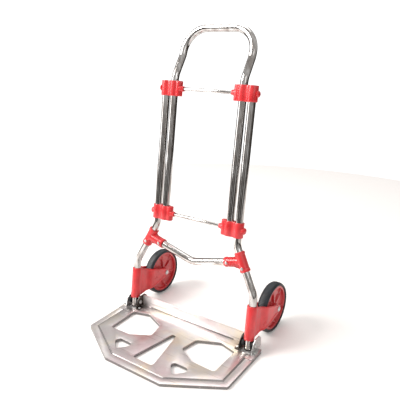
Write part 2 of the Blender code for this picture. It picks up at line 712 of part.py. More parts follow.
# ---- handle -------------------------------------------------------------
def handle_tube(mat):
    """U-shaped handle, cranked back above the upper clamps."""
    foot = LOWER_CLAMP_S - CLAMP_HEIGHT / 2 + CLAMP_FLOOR + CLEARANCE
    clamp_top = UPPER_CLAMP_S + CLAMP_HEIGHT / 2
    bend = clamp_top + HANDLE_BEND_ABOVE_CLAMP + HANDLE_BEND_RADIUS * tan(HANDLE_CRANK / 2)
    knee = max(HANDLE_KNEE_S, bend + 0.030)
    corners = []
    for side in (1, -1):
        leg = [at(side * HANDLE_X, 0, foot), at(side * HANDLE_X, 0, bend),
               at(side * HANDLE_X, HANDLE_KNEE_OFFSET, knee),
               at(side * HANDLE_X, HANDLE_OFFSET, HANDLE_TOP_S)]
        corners += leg if side > 0 else leg[::-1]
    radii = [HANDLE_BEND_RADIUS, HANDLE_BEND_RADIUS, HANDLE_CORNER_RADIUS]
    path = filleted(corners, radii + radii[::-1], [2, 2, 7, 7, 2, 2])
    tube = pipe("tube", path, TUBE_RADIUS, TUBE_RADIUS - TUBE_WALL)
    holes = []
    for side in (-1, 1):
        holes.append(cylinder("hole", at(side * HANDLE_X, TUBE_RADIUS - TUBE_WALL - 0.002, LOWER_CLAMP_S),
                              at(side * HANDLE_X, TUBE_RADIUS + 0.002, LOWER_CLAMP_S),
                              HANDLE_RIVET_RADIUS + CLEARANCE, SMALL_SEGMENTS))
    cut(tube, holes)
    return settle_on_frame(tube, "handle_tube", mat, at(0, 0, LOWER_CLAMP_S))


# ---- wheel fork ---------------------------------------------------------
def cheek_outline():
    """Side view of a fork cheek, behind and along the leg."""
    low = SLEEVE_BOTTOM_S + CHEEK_INSET
    high = SLEEVE_TOP_S - CHEEK_INSET
    points = [(0.0, low), (SLEEVE_RADIUS, low)]
    for k in range(7):
        angle = radians(-72 + 150 * k / 6)
        points.append((AXLE_REACH + CHEEK_EYE_RADIUS * cos(angle), AXLE_S + CHEEK_EYE_RADIUS * sin(angle)))
    points += [(SLEEVE_RADIUS, high), (0.0, high)]
    return points


def cheek(side, sign):
    """One cheek that flares out from the sleeve and runs flat beside the wheel."""
    inner = CHEEK_GAP
    outer = CHEEK_GAP + CHEEK_THICKNESS
    outline = cheek_outline()
    plate = prism("cheek", outline, sign * inner, sign * outer, in_frame(side))
    front = box_in_frame(side, sign * (inner - 0.006), sign * (outer + 0.002), -0.02, FLARE_END, -0.05, 0.2)
    cut(plate, [front])
    root = SLEEVE_RADIUS - 0.0005
    overlap = FLARE_END + 0.001
    profile = [(0.0, root - CHEEK_THICKNESS), (FLARE_START, root - CHEEK_THICKNESS), (FLARE_END, inner)]
    profile += [(overlap, inner), (overlap, outer), (FLARE_END, outer), (FLARE_START, root), (0.0, root)]
    low = SLEEVE_BOTTOM_S + CHEEK_INSET
    high = SLEEVE_TOP_S - CHEEK_INSET
    wedge = prism("flare", [(back, sign * across) for back, across in profile], low, high,
                  lambda back, across, up: at(side * (LEG_X + across), back, up))
    keep = prism("keep", outline, -0.03, 0.03, in_frame(side))
    combine(wedge, keep, 'INTERSECT')
    return combine(plate, wedge, 'UNION')


def box_in_frame(side, across0, across1, back0, back1, up0, up1):
    """Block with its faces square to the frame, about the leg."""
    outline = [(back0, up0), (back1, up0), (back1, up1), (back0, up1)]
    return prism("block", outline, across0, across1, in_frame(side))


def crown(side):
    """Teeth on the underside of the sleeve, on the part that meets the gear as it folds."""
    teeth = []
    inner = CROWN_RADIUS - GEAR_THICKNESS / 2 - 0.0002
    outer = SLEEVE_RADIUS
    low = GEAR_RADIUS - TOOTH_HEIGHT / 2
    for k in range(-1, CROWN_TEETH // 4 + 2):
        angle = 2 * pi * (k + 0.5) / CROWN_TEETH
        out = Vector((cos(angle), -sin(angle)))
        across = Vector((sin(angle), cos(angle)))
        half = TOOTH_WIDTH / 2
        corners = [out * inner - across * half, out * outer - across * half,
                   out * outer + across * half, out * inner + across * half]
        outline = [(c.x, c.y) for c in corners]
        teeth.append(prism("tooth", outline, low, SLEEVE_BOTTOM_S + 0.0012,
                           lambda across, back, up: at(side * (LEG_X + across), back, up)))
    return teeth


def fork(side, mat):
    """Moulded sleeve and fork that carries one wheel and turns about the leg."""
    x = side * LEG_X
    sleeve = cylinder("sleeve", at(x, 0, SLEEVE_BOTTOM_S), at(x, 0, SLEEVE_TOP_S), SLEEVE_RADIUS,
                      ROUND_SEGMENTS, 0.0008)
    half = SLEEVE_RADIUS - 0.003
    spine = box_in_frame(side, -half, half, 0.0, FLARE_START * 0.7,
                         SLEEVE_BOTTOM_S + 0.006, SLEEVE_TOP_S - 0.008)
    back = SLEEVE_RADIUS + 0.0015
    lug = cylinder("lug", at(x, back, SLEEVE_TOP_S - 0.010), at(x, back, SLEEVE_TOP_S), LUG_RADIUS,
                   SMALL_SEGMENTS, 0.0006)
    join(sleeve, [spine, lug, cheek(side, 1), cheek(side, -1)] + crown(side))
    over = 0.004
    bore = cylinder("bore", at(x, 0, SLEEVE_BOTTOM_S - over), at(x, 0, SLEEVE_TOP_S + over),
                    TUBE_RADIUS + CLEARANCE, TUBE_SEGMENTS)
    room = RING_HALF + CLEARANCE * 1.5
    wide = TUBE_RADIUS + RING_OUTSIDE + CLEARANCE
    recess = cylinder("recess", at(x, 0, RING_S - room), at(x, 0, RING_S + room), wide)
    reach = CHEEK_GAP + CHEEK_THICKNESS + over
    axle_hole = cylinder("bore", at(x - reach, AXLE_REACH, AXLE_S), at(x + reach, AXLE_REACH, AXLE_S),
                         AXLE_RADIUS + CLEARANCE, SMALL_SEGMENTS)
    cut(sleeve, [bore, recess, axle_hole])
    return settle_on_frame(sleeve, "wheel_fork_" + side_name(side), mat, at(x, 0, AXLE_S))


def sleeve_ring(side, mat):
    """Spring ring in a frame tube's groove, which holds the fork up and down."""
    start = at(side * LEG_X, 0, RING_S)
    inside = TUBE_RADIUS - GROOVE_DEPTH + CLEARANCE
    outside = TUBE_RADIUS + RING_OUTSIDE
    profile = [(-RING_HALF, inside), (-RING_HALF, outside), (RING_HALF, outside), (RING_HALF, inside)]
    ring = lathe("ring", start, (0, 0, 1), profile, TUBE_SEGMENTS)
    settle_on_frame(ring, "sleeve_ring_" + side_name(side), mat, start)


def tyre(side, mat):
    """Rubber tyre with a rounded tread."""
    centre = at(side * LEG_X, AXLE_REACH, AXLE_S)
    seat = WHEEL_RADIUS - TYRE_DEPTH
    half = [(TYRE_HALF_WIDTH * 0.42, WHEEL_RADIUS), (TYRE_HALF_WIDTH - 0.0025, WHEEL_RADIUS - 0.0015),
            (TYRE_HALF_WIDTH, WHEEL_RADIUS - 0.0055), (TYRE_HALF_WIDTH, seat + 0.0025),
            (TYRE_HALF_WIDTH - 0.002, seat), (BEAD_HALF_WIDTH + 0.0015, seat),
            (BEAD_HALF_WIDTH, seat - BEAD_DEPTH)]
    profile = half + [(-along, radius) for along, radius in reversed(half)]
    ring = lathe("tyre", centre, (1, 0, 0), profile, WHEEL_SEGMENTS)
    return settle_on_frame(ring, "tyre_" + side_name(side), mat, centre)


def hub(side, mat):
    """Moulded wheel centre: rim, web, spokes and bearing boss."""
    centre = at(side * LEG_X, AXLE_REACH, AXLE_S)
    seat = WHEEL_RADIUS - TYRE_DEPTH - CLEARANCE
    rim = seat - HUB_RIM
    web = HUB_WEB / 2
    bore = AXLE_RADIUS + CLEARANCE
    bead = BEAD_HALF_WIDTH + CLEARANCE
    half = [(HUB_BOSS_HALF_WIDTH, bore), (HUB_BOSS_HALF_WIDTH, HUB_BOSS_RADIUS),
            (web, HUB_BOSS_RADIUS + 0.002), (web, rim - 0.001), (HUB_HALF_WIDTH, rim + 0.0005),
            (HUB_HALF_WIDTH, seat),
            (bead + 0.0015, seat), (bead, seat - BEAD_DEPTH)]
    profile = half + [(-along, radius) for along, radius in reversed(half)]
    disc = lathe("hub", centre, (1, 0, 0), profile, WHEEL_SEGMENTS)
    spokes = []
    root = HUB_BOSS_RADIUS - 0.002
    tip = rim + 0.002
    outline = [(root, -0.0042), (tip, -0.0026), (tip, 0.0026), (root, 0.0042)]
    for k in range(SPOKE_COUNT):
        turn = Matrix.Rotation(2 * pi * k / SPOKE_COUNT + pi / 6, 3, 'X')
        reach = HUB_HALF_WIDTH - 0.0028
        spokes.append(prism("spoke", outline, -reach, reach,
                            lambda out, flank, across, turn=turn:
                            centre + turn @ Vector((across, out, flank))))
    join(disc, spokes)
    return settle_on_frame(disc, "wheel_hub_" + side_name(side), mat, centre)


def riveted_pin(face, radius, head, height):
    """Half outline of a pin with a rounded head beyond each face."""
    half = [(face, radius), (face, head), (face + height * 0.5, head * 0.9)]
    half += [(face + height * 0.9, head * 0.5), (face + height, 0)]
    return [(-along, r) for along, r in reversed(half)] + half


def axle(side, mat):
    """Riveted axle pin through both cheeks."""
    centre = at(side * LEG_X, AXLE_REACH, AXLE_S)
    face = CHEEK_GAP + CHEEK_THICKNESS + CLEARANCE
    profile = riveted_pin(face, AXLE_RADIUS, RIVET_HEAD_RADIUS, RIVET_HEAD_HEIGHT)
    pin = lathe("axle", centre, (1, 0, 0), profile, SMALL_SEGMENTS)
    return settle_on_frame(pin, "axle_pin_" + side_name(side), mat, centre)


def washers(side, mat):
    """Two thin washers beside the wheel's boss."""
    centre = at(side * LEG_X, AXLE_REACH, AXLE_S)
    near = HUB_BOSS_HALF_WIDTH + CLEARANCE
    far = CHEEK_GAP - CLEARANCE
    bore = AXLE_RADIUS + CLEARANCE
    for word, sign in (("outer_washer_", side), ("inner_washer_", -side)):
        profile = [(near, bore), (near, WASHER_RADIUS), (far, WASHER_RADIUS), (far, bore)]
        ring = lathe("washer", centre, (sign, 0, 0), profile, SMALL_SEGMENTS)
        settle_on_frame(ring, word + side_name(side), mat, centre)


# ---- hinge --------------------------------------------------------------
def ear(side, sign):
    """One hinge ear with its riveting flange, about the hinge pin."""
    near = sign * EAR_OFFSET
    far = sign * (EAR_OFFSET + EAR_THICKNESS)
    base = PLATE_TOP + CLEARANCE
    flange_top = base + EAR_FLANGE_THICKNESS
    top = HINGE_HEIGHT + EAR_TOP
    outline = [(-EAR_FLANGE_FRONT, base), (EAR_REAR, base), (EAR_REAR, top - EAR_TOP * 0.45)]
    outline += [(EAR_REAR - 0.008, top), (0.0, top), (-EAR_FRONT, top - EAR_TOP * 0.45)]
    outline += [(-EAR_FRONT - 0.006, base + 0.006), (-EAR_FLANGE_FRONT, flange_top)]
    plate = prism("ear", outline, near, far, lambda y, z, across: Vector((side * (LEG_X + across), y, z)))
    edge = far + sign * EAR_FLANGE
    outline = [(near, -EAR_FLANGE_FRONT), (edge, -EAR_FLANGE_FRONT), (edge, -0.001), (near, -0.001)]
    flange = prism("flange", outline, base, flange_top,
                   lambda across, y, z: Vector((side * (LEG_X + across), y, z)))
    return combine(plate, flange, 'UNION')


def rivet_spot(sign):
    """Plate rivet of one ear: (across from the leg, y)."""
    across = sign * (EAR_OFFSET + EAR_THICKNESS + EAR_FLANGE * 0.56)
    return across, -EAR_FLANGE_FRONT * 0.52


def peg_centre():
    """Drive peg of the gear, behind and a little below the pin, as (y, z)."""
    return PEG_BEHIND, HINGE_HEIGHT - PEG_BELOW


def hinge_ear(side, sign, mat):
    """Riveted steel ear beside a foot; the outer one also takes the gear's drive peg."""
    body = ear(side, sign)
    near = side * (LEG_X + sign * (EAR_OFFSET - 0.004))
    far = side * (LEG_X + sign * (EAR_OFFSET + EAR_THICKNESS + 0.004))
    cutters = [cylinder("hole", (near, 0, HINGE_HEIGHT), (far, 0, HINGE_HEIGHT), PIN_RADIUS + CLEARANCE,
                        SMALL_SEGMENTS)]
    if sign > 0:
        y, z = peg_centre()
        cutters.append(cylinder("hole", (near, y, z), (far, y, z), PEG_RADIUS + CLEARANCE, SMALL_SEGMENTS))
    across, y = rivet_spot(sign)
    x = side * (LEG_X + across)
    cutters.append(cylinder("hole", (x, y, PLATE_TOP - 0.002), (x, y, PLATE_TOP + 0.006),
                            PLATE_RIVET_RADIUS + CLEARANCE, SMALL_SEGMENTS))
    cut(body, cutters)
    word = "outer_ear_" if sign > 0 else "inner_ear_"
    return settle(body, word + side_name(side), mat, (side * LEG_X, 0, HINGE_HEIGHT))


def fold_gear(side, mat):
    """Gear on the hinge pin that turns the fork as the plate folds; its peg sits in the outer ear."""
    x = side * LEG_X
    start = Vector((x, 0, HINGE_HEIGHT))
    away = Vector((side, 0, 0))
    bore = PIN_RADIUS + CLEARANCE
    tube_side = TUBE_RADIUS + CLEARANCE
    ear_side = EAR_OFFSET - CLEARANCE
    near = CROWN_RADIUS - GEAR_THICKNESS / 2
    far = CROWN_RADIUS + GEAR_THICKNESS / 2
    root = GEAR_RADIUS - TOOTH_HEIGHT / 2 - CLEARANCE
    tip = GEAR_RADIUS + TOOTH_HEIGHT / 2 - CLEARANCE
    profile = [(tube_side, bore), (tube_side, GEAR_HUB_RADIUS), (near, GEAR_HUB_RADIUS), (near, root)]
    profile += [(far, root), (far, GEAR_COLLAR_RADIUS), (ear_side, GEAR_COLLAR_RADIUS), (ear_side, bore)]
    body = lathe("gear", start, away, profile)
    teeth = []
    wide = TOOTH_WIDTH * 0.75
    narrow = TOOTH_WIDTH * 0.40
    low = root - 0.0010
    outline = [(low, -wide), (tip, -narrow), (tip, narrow), (low, wide)]
    for k in range(-2, GEAR_TEETH // 4 + 3):
        turn = Matrix.Rotation(2 * pi * k / GEAR_TEETH - FRAME_LEAN, 3, 'X')
        teeth.append(prism("tooth", outline, near, far,
                           lambda out, flank, across, turn=turn:
                           start + turn @ Vector((0, flank, out)) + away * across))
    y, z = peg_centre()
    pin = cylinder("peg", (x + side * (ear_side - 0.002), y, z),
                   (x + side * (EAR_OFFSET + EAR_THICKNESS - 0.0002), y, z), PEG_RADIUS, SMALL_SEGMENTS)
    join(body, teeth + [pin])
    return settle(body, "fold_gear_" + side_name(side), mat, start)


def hinge_spacer(side, mat):
    """Plastic spacer between a foot and its inner ear."""
    start = Vector((side * LEG_X, 0, HINGE_HEIGHT))
    bore = PIN_RADIUS + CLEARANCE
    near = TUBE_RADIUS + CLEARANCE
    far = EAR_OFFSET - CLEARANCE
    profile = [(near, bore), (near, SPACER_RADIUS - 0.0017), (near + 0.002, SPACER_RADIUS)]
    profile += [(far, SPACER_RADIUS), (far, bore)]
    ring = lathe("spacer", start, (-side, 0, 0), profile)
    return settle(ring, "hinge_spacer_" + side_name(side), mat, start)


def hinge_pin(side, mat):
    """Riveted pin through the ears, gear, foot and spacer."""
    start = Vector((side * LEG_X, 0, HINGE_HEIGHT))
    face = EAR_OFFSET + EAR_THICKNESS + CLEARANCE
    profile = riveted_pin(face, PIN_RADIUS, PIN_HEAD_RADIUS, PIN_HEAD_HEIGHT)
    pin = lathe("pin", start, (1, 0, 0), profile, SMALL_SEGMENTS)
    return settle(pin, "hinge_pin_" + side_name(side), mat, start)


def foot_plug(side, mat):
    """Plastic plug in the open foot of a frame tube, drilled for the hinge pin."""
    inside = TUBE_RADIUS - TUBE_WALL - CLEARANCE
    rim_radius = TUBE_RADIUS - 0.0002
    start = at(side * LEG_X, 0, -FOOT_DROP - CLEARANCE - PLUG_RIM)
    depth = PLUG_RIM + FOOT_DROP + 0.010
    profile = [(0, 0), (0, rim_radius - 0.0013), (PLUG_RIM / 2, rim_radius), (PLUG_RIM, rim_radius)]
    profile += [(PLUG_RIM, inside), (depth, inside), (depth, 0)]
    plug = lathe("plug", start, (0, 0, 1), profile)
    reach = TUBE_RADIUS + 0.003
    hole = cylinder("hole", at(side * LEG_X - reach, 0, 0), at(side * LEG_X + reach, 0, 0),
                    PIN_RADIUS + CLEARANCE, SMALL_SEGMENTS)
    cut(plug, [hole])
    settle_on_frame(plug, "foot_plug_" + side_name(side), mat, start)


# ---- toe plate ----------------------------------------------------------
def plate_outline(inset):
    """Outline of the plate, front edge first, drawn in by a distance; the rear edge stays put."""
    wide = PLATE_HALF_WIDTH - inset
    slope = atan2(PLATE_CHAMFER_Y - PLATE_FRONT_Y, PLATE_HALF_WIDTH - PLATE_FRONT_HALF)
    front = PLATE_FRONT_Y + inset
    front_half = PLATE_FRONT_HALF - inset * (1 - cos(slope)) / sin(slope)
    chamfer = PLATE_CHAMFER_Y + inset * (1 - sin(slope)) / cos(slope)
    return [(-front_half, front), (front_half, front), (wide, chamfer), (wide, PLATE_REAR_Y),
            (-wide, PLATE_REAR_Y), (-wide, chamfer)]


def plate_openings():
    """Outlines of the five openings in the plate."""
    rear = [(0.155, -0.116), (0.156, -0.029), (0.112, -0.017)]
    rear += [(0.056, -0.042), (0.047, -0.088), (0.094, -0.114)]
    front = [(0.107, -0.150), (0.100, -0.139), (0.064, -0.140), (0.062, -0.150), (0.084, -0.176)]
    shapes = []
    for side in (-1, 1):
        shapes.append([(side * x, y) for x, y in rear])
        shapes.append([(side * x, y) for x, y in front])
    shapes.append([(0.0, -0.030), (-0.030, -0.176), (0.030, -0.176)])
    return shapes


def ring_band(outer, inner, low, high):
    """Band between two outlines."""
    body = prism("band", outer, low, high, plan)
    hole = prism("band", inner, low - 0.002, high + 0.002, plan)
    return cut(body, [hole])


def plate_sheet():
    """Bordered sheet with its raised middle, the seats under the ears, and the turned-down rim."""
    border_top = PLATE_TOP - PLATE_STEP
    root = border_top - PLATE_SHEET / 2
    sheet = prism("plate", plate_outline(0), border_top - PLATE_SHEET, border_top, plan)
    panel = prism("panel", plate_outline(PLATE_BORDER), root, PLATE_TOP, plan)
    shoulder = LEG_X - EAR_OFFSET - EAR_THICKNESS - EAR_FLANGE - 0.002
    edge = PLATE_HALF_WIDTH - 0.0004
    seats = []
    for side in (-1, 1):
        outline = [(side * shoulder, PAD_FRONT_Y), (side * edge, PAD_FRONT_Y)]
        outline += [(side * edge, PLATE_REAR_Y), (side * shoulder, PLATE_REAR_Y)]
        seats.append(prism("seat", outline, root, PLATE_TOP, plan))
    inside = plate_outline(PLATE_SHEET)
    behind = PLATE_REAR_Y + 0.01
    inside[3] = (inside[3][0], behind)
    inside[4] = (inside[4][0], behind)
    rim = ring_band(plate_outline(0), inside, RIM_BOTTOM, border_top - 0.0004)
    return join(sheet, [panel] + seats + [rim])


def rear_lip():
    """Upright lip along the rear edge, with its rolled top."""
    half = LEG_X - EAR_OFFSET - EAR_THICKNESS - CLEARANCE
    low = PLATE_TOP - PLATE_STEP - PLATE_SHEET
    shape = rounded([(-half, low), (half, low), (half, LIP_TOP), (-half, LIP_TOP)], CORNER_RADIUS, 3)
    lip = prism("lip", shape, PLATE_REAR_Y - PLATE_SHEET, PLATE_REAR_Y, lambda x, z, y: Vector((x, y, z)))
    y = PLATE_REAR_Y - PLATE_SHEET / 2 + 0.0004
    z = LIP_TOP - 0.0014
    reach = half - CORNER_RADIUS
    hem = cylinder("hem", (-reach, y, z), (reach, y, z), HEM_RADIUS, SMALL_SEGMENTS)
    return join(lip, [hem])


def toe_plate(mat):
    """Pressed plate with an upright rear lip, its openings, and notches for the feet."""
    sheet = join(plate_sheet(), [rear_lip()])
    low = RIM_BOTTOM - 0.001
    high = PLATE_TOP + 0.004
    cutters = []
    for shape in plate_openings():
        cutters.append(prism("opening", rounded(shape, CORNER_RADIUS, 2), low, high, plan))
    half = TUBE_RADIUS + NOTCH_CLEAR
    behind = PLATE_REAR_Y + 0.01
    for side in (-1, 1):
        near = side * (LEG_X - half)
        far = side * (LEG_X + half)
        notch = [(near, NOTCH_FRONT_Y), (far, NOTCH_FRONT_Y), (far, behind), (near, behind)]
        cutters.append(prism("notch", notch, low, high, plan))
        for sign in (-1, 1):
            across, y = rivet_spot(sign)
            x = side * (LEG_X + across)
            cutters.append(cylinder("hole", (x, y, RIM_BOTTOM), (x, y, high), PLATE_RIVET_RADIUS + CLEARANCE,
                                    SMALL_SEGMENTS))
    cut(sheet, cutters)
    return settle(sheet, "toe_plate", mat, (0, 0, HINGE_HEIGHT))


def plate_rivet(side, sign, mat):
    """Rivet that holds one ear on the plate."""
    bottom = PLATE_TOP - PLATE_STEP - PLATE_SHEET - CLEARANCE
    run = PLATE_STEP + PLATE_SHEET + EAR_FLANGE_THICKNESS + 3 * CLEARANCE
    across, y = rivet_spot(sign)
    start = (side * (LEG_X + across), y, bottom)
    tail = PLATE_RIVET_RADIUS * 1.5
    profile = [(-PLATE_RIVET_TAIL, 0), (-PLATE_RIVET_TAIL, tail - 0.0002), (0, tail), (0, PLATE_RIVET_RADIUS)]
    profile += [(run, PLATE_RIVET_RADIUS), (run, PLATE_RIVET_HEAD)]
    profile += [(run + PLATE_RIVET_HEIGHT * 0.7, PLATE_RIVET_HEAD * 0.7), (run + PLATE_RIVET_HEIGHT, 0)]
    word = "outer_ear_rivet_" if sign > 0 else "inner_ear_rivet_"
    rivet = lathe("rivet", start, (0, 0, 1), profile, SMALL_SEGMENTS)
    settle(rivet, word + side_name(side), mat, start)


# ---- assembly -----------------------------------------------------------
def clear_scene():
    """Start from nothing."""
    for obj in list(bpy.data.objects):
        bpy.data.objects.remove(obj)


def build():
    """All the pieces."""
    clear_scene()
    chrome = (0.80, 0.81, 0.83)
    steel = (0.55, 0.56, 0.58)
    red = (0.72, 0.035, 0.035)
    black = (0.02, 0.02, 0.022)
    for side in (-1, 1):
        word = side_name(side)
        frame_tube(side, material("chrome_frame_" + word, chrome, 1.0, 0.08))
        tee(side, material("red_tee_" + word, red, 0.0, 0.35))
        upper_clamp(side, material("red_upper_clamp_" + word, red, 0.0, 0.35))
        lower_clamp(side, material("red_lower_clamp_" + word, red, 0.0, 0.35))
        friction_set(side, material("nylon_pad_" + word, (0.85, 0.84, 0.80), 0.0, 0.5),
                     material("spring_steel_" + word, steel, 1.0, 0.3),
                     material("red_cap_" + word, red, 0.0, 0.35))
        fork(side, material("red_fork_" + word, red, 0.0, 0.35))
        tyre(side, material("rubber_" + word, (0.03, 0.033, 0.04), 0.0, 0.7))
        hub(side, material("red_hub_" + word, red, 0.0, 0.35))
        axle(side, material("axle_steel_" + word, steel, 1.0, 0.3))
        washers(side, material("washer_nylon_" + word, (0.1, 0.1, 0.1), 0.0, 0.5))
        hinge_ear(side, 1, material("outer_ear_steel_" + word, (0.20, 0.20, 0.21), 1.0, 0.35))
        hinge_ear(side, -1, material("inner_ear_steel_" + word, (0.20, 0.20, 0.21), 1.0, 0.35))
        fold_gear(side, material("gear_black_" + word, black, 0.0, 0.45))
        hinge_spacer(side, material("spacer_black_" + word, black, 0.0, 0.45))
        hinge_pin(side, material("pin_steel_" + word, steel, 1.0, 0.25))
        tee_screws(side, material("screw_steel_" + word, steel, 1.0, 0.25))
        frame_rivet(side, material("red_rivet_cover_" + word, red, 0.0, 0.35))
        handle_rivet(side, material("handle_rivet_steel_" + word, steel, 1.0, 0.3))
        sleeve_ring(side, material("ring_steel_" + word, steel, 1.0, 0.3))
        foot_plug(side, material("plug_black_" + word, black, 0.0, 0.5))
        plate_rivet(side, 1, material("outer_rivet_steel_" + word, steel, 1.0, 0.3))
        plate_rivet(side, -1, material("inner_rivet_steel_" + word, steel, 1.0, 0.3))
    cross_tube(material("chrome_cross", chrome, 1.0, 0.08))
    cross_rod("upper_rod", UPPER_CLAMP_S, material("chrome_upper_rod", chrome, 1.0, 0.1))
    cross_rod("lower_rod", LOWER_CLAMP_S, material("chrome_lower_rod", chrome, 1.0, 0.1))
    handle_tube(material("chrome_handle", chrome, 1.0, 0.08))
    toe_plate(material("plate_aluminium", (0.78, 0.77, 0.76), 1.0, 0.35))


build()
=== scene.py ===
import bpy
import bmesh
from functools import partial
from math import sin, cos, tan, pi, radians, sqrt, atan2
from mathutils import Vector, Matrix


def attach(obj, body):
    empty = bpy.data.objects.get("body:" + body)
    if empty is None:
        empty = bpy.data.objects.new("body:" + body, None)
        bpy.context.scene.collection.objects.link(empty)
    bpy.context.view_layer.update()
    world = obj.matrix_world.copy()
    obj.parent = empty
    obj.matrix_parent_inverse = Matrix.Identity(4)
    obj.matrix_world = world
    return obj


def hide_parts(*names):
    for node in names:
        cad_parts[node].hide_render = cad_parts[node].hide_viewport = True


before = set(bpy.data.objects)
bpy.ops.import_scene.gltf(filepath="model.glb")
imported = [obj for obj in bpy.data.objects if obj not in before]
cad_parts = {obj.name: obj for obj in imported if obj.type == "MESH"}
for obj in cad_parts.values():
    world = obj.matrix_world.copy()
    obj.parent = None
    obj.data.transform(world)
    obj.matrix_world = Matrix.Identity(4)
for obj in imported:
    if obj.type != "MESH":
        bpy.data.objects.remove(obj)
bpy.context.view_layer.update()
print("frame loaded,", len(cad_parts), "nodes")

# the cart leans back about its hinge line: frame pieces are drawn upright as (across, behind, along), then leaned
stance = {"lean": radians(9.0), "hingeY": 0.0173, "hingeZ": 0.022, "legX": 0.176, "gap": 0.0003}
hingePlace = Matrix.Translation((0, stance["hingeY"], stance["hingeZ"]))
leanBack = hingePlace @ Matrix.Rotation(-stance["lean"], 4, "X")
plainPlace = Matrix.Translation((0, stance["hingeY"], 0))
sides = {"left": -1, "right": 1}


def setInputs(node, values):
    for socket, value in values.items():
        node.inputs[socket].default_value = value


def addNode(tree, kind, values, links):
    made = tree.nodes.new("ShaderNode" + kind)
    setInputs(made, values)
    for socket, source in links.items():
        tree.links.new(source, made.inputs[socket])
    return made


def addObject(name, data):
    made = bpy.data.objects.new(name, data)
    bpy.context.scene.collection.objects.link(made)
    return made


# node helpers: a finish is a Principled shader fed by noise in object space
def newFinish(name, colour, metallic, roughness):
    mat = bpy.data.materials.new(name)
    mat.use_nodes = True
    tree = mat.node_tree
    shader = tree.nodes["Principled BSDF"]
    setInputs(shader, {"Base Color": (*colour, 1), "Metallic": metallic, "Roughness": roughness})
    coords = tree.nodes.new("ShaderNodeTexCoord")
    return mat, tree, shader, partial(noiseNode, tree, coords), partial(addBump, tree, shader)


def noiseNode(tree, coords, scale, detail=3.0, rough=0.55, stretch=(1, 1, 1), turn=0.0):
    mapping = addNode(tree, "Mapping", {"Scale": stretch, "Rotation": (0, 0, turn)},
                      {"Vector": coords.outputs["Object"]})
    noise = addNode(tree, "TexNoise", {"Scale": scale, "Detail": detail, "Roughness": rough},
                    {"Vector": mapping.outputs["Vector"]})
    return noise.outputs["Fac"]


def rampNode(tree, value, stops):
    ramp = tree.nodes.new("ShaderNodeValToRGB")
    while len(ramp.color_ramp.elements) < len(stops):
        ramp.color_ramp.elements.new(0.5)
    for element, (place, colour) in zip(ramp.color_ramp.elements, stops):
        element.position = place
        element.color = (*colour, 1) if len(colour) == 3 else (colour[0], colour[0], colour[0], 1)
    tree.links.new(value, ramp.inputs["Fac"])
    return ramp.outputs["Color"]


def mixColours(tree, amount, first, second, kind="MIX"):
    mix = tree.nodes.new("ShaderNodeMix")
    mix.data_type = "RGBA"
    mix.blend_type = kind
    for socket, value in ((mix.inputs[0], amount), (mix.inputs[6], first), (mix.inputs[7], second)):
        if hasattr(value, "links"):
            tree.links.new(value, socket)
        elif isinstance(value, tuple):
            socket.default_value = (*value, 1)
        else:
            socket.default_value = value
    return mix.outputs[2]


def spread(tree, value, low, high):
    remap = addNode(tree, "MapRange", {"From Min": 0.3, "From Max": 0.7, "To Min": low, "To Max": high},
                    {"Value": value})
    return remap.outputs["Result"]


def addBump(tree, shader, height, strength, distance):
    bump = addNode(tree, "Bump", {"Strength": strength, "Distance": distance}, {"Height": height})
    before = shader.inputs["Normal"].links
    if before:
        tree.links.new(before[0].from_socket, bump.inputs["Normal"])
    tree.links.new(bump.outputs["Normal"], shader.inputs["Normal"])


def dress(tree, shader, tone, rough):
    tree.links.new(tone, shader.inputs["Base Color"])
    tree.links.new(rough, shader.inputs["Roughness"])


chromeLook = {"clean": (0.66, 0.65, 0.64), "dull": (0.36, 0.33, 0.31), "speck": (0.14, 0.11, 0.09),
              "smooth": 0.04, "rough": 0.12, "drawn": 0.55}


def chromeFinish(name, stretch, speckled=0.5):
    mat, tree, shader, noise, bump = newFinish(name, chromeLook["clean"], 1.0, 0.1)
    haze = noise(75, 5, 0.6, tuple(max(value, 0.35) for value in stretch))
    grime = noise(420, 2, 0.6)
    tone = rampNode(tree, haze, [(0.40, chromeLook["clean"]), (0.64, chromeLook["dull"])])
    spots = rampNode(tree, grime, [(0.66, (0,)), (0.76, (speckled,))])
    drawn = noise(190, 3, 0.6, stretch)    # lengthwise lines: a small bump, and dark streaks in the colour that are a painted reflection
    paintedStreaks = rampNode(tree, drawn, [(0.50, (0,)), (0.64, (chromeLook["drawn"],))])
    tone = mixColours(tree, paintedStreaks, tone, chromeLook["dull"])
    tone = mixColours(tree, spots, tone, chromeLook["speck"])
    dress(tree, shader, tone, spread(tree, haze, chromeLook["smooth"], chromeLook["rough"]))
    bump(grime, 0.06, 0.0004)
    bump(drawn, 0.10, 0.0005)
    bump(noise(60, 2), 0.06, 0.002)
    return mat


redLook = {"deep": (0.58, 0.013, 0.018), "bright": (0.72, 0.026, 0.032), "paleDustAndGlint": (0.82, 0.34, 0.30),
           "smooth": 0.26, "rough": 0.40, "coat": 0.45, "coatRough": 0.18}


def redFinish(name, shade=1.0, dustAndHighlight=0.10):
    bright = tuple(value * shade for value in redLook["bright"])
    mat, tree, shader, noise, bump = newFinish(name, bright, 0.0, 0.35)
    setInputs(shader, {"Coat Weight": redLook["coat"], "Coat Roughness": redLook["coatRough"], "IOR": 1.5})
    flow = noise(38, 3)
    deep = tuple(value * shade for value in redLook["deep"])
    tone = rampNode(tree, flow, [(0.30, deep), (0.62, bright)])
    # pale scuffs: real dust on the moulding, and also painted glints
    scuffsAndGlints = rampNode(tree, noise(210, 4, 0.7), [(0.62, (0,)), (0.80, (dustAndHighlight * 2,))])
    tone = mixColours(tree, scuffsAndGlints, tone, redLook["paleDustAndGlint"])
    dress(tree, shader, tone, spread(tree, flow, redLook["smooth"], redLook["rough"]))
    bump(noise(900, 2), 0.10, 0.0002)
    bump(noise(90, 2), 0.08, 0.0012)
    return mat


rubberLook = {"black": (0.004, 0.005, 0.007), "dustAndHighlight": (0.016, 0.024, 0.034), "smooth": 0.30, "rough": 0.55}


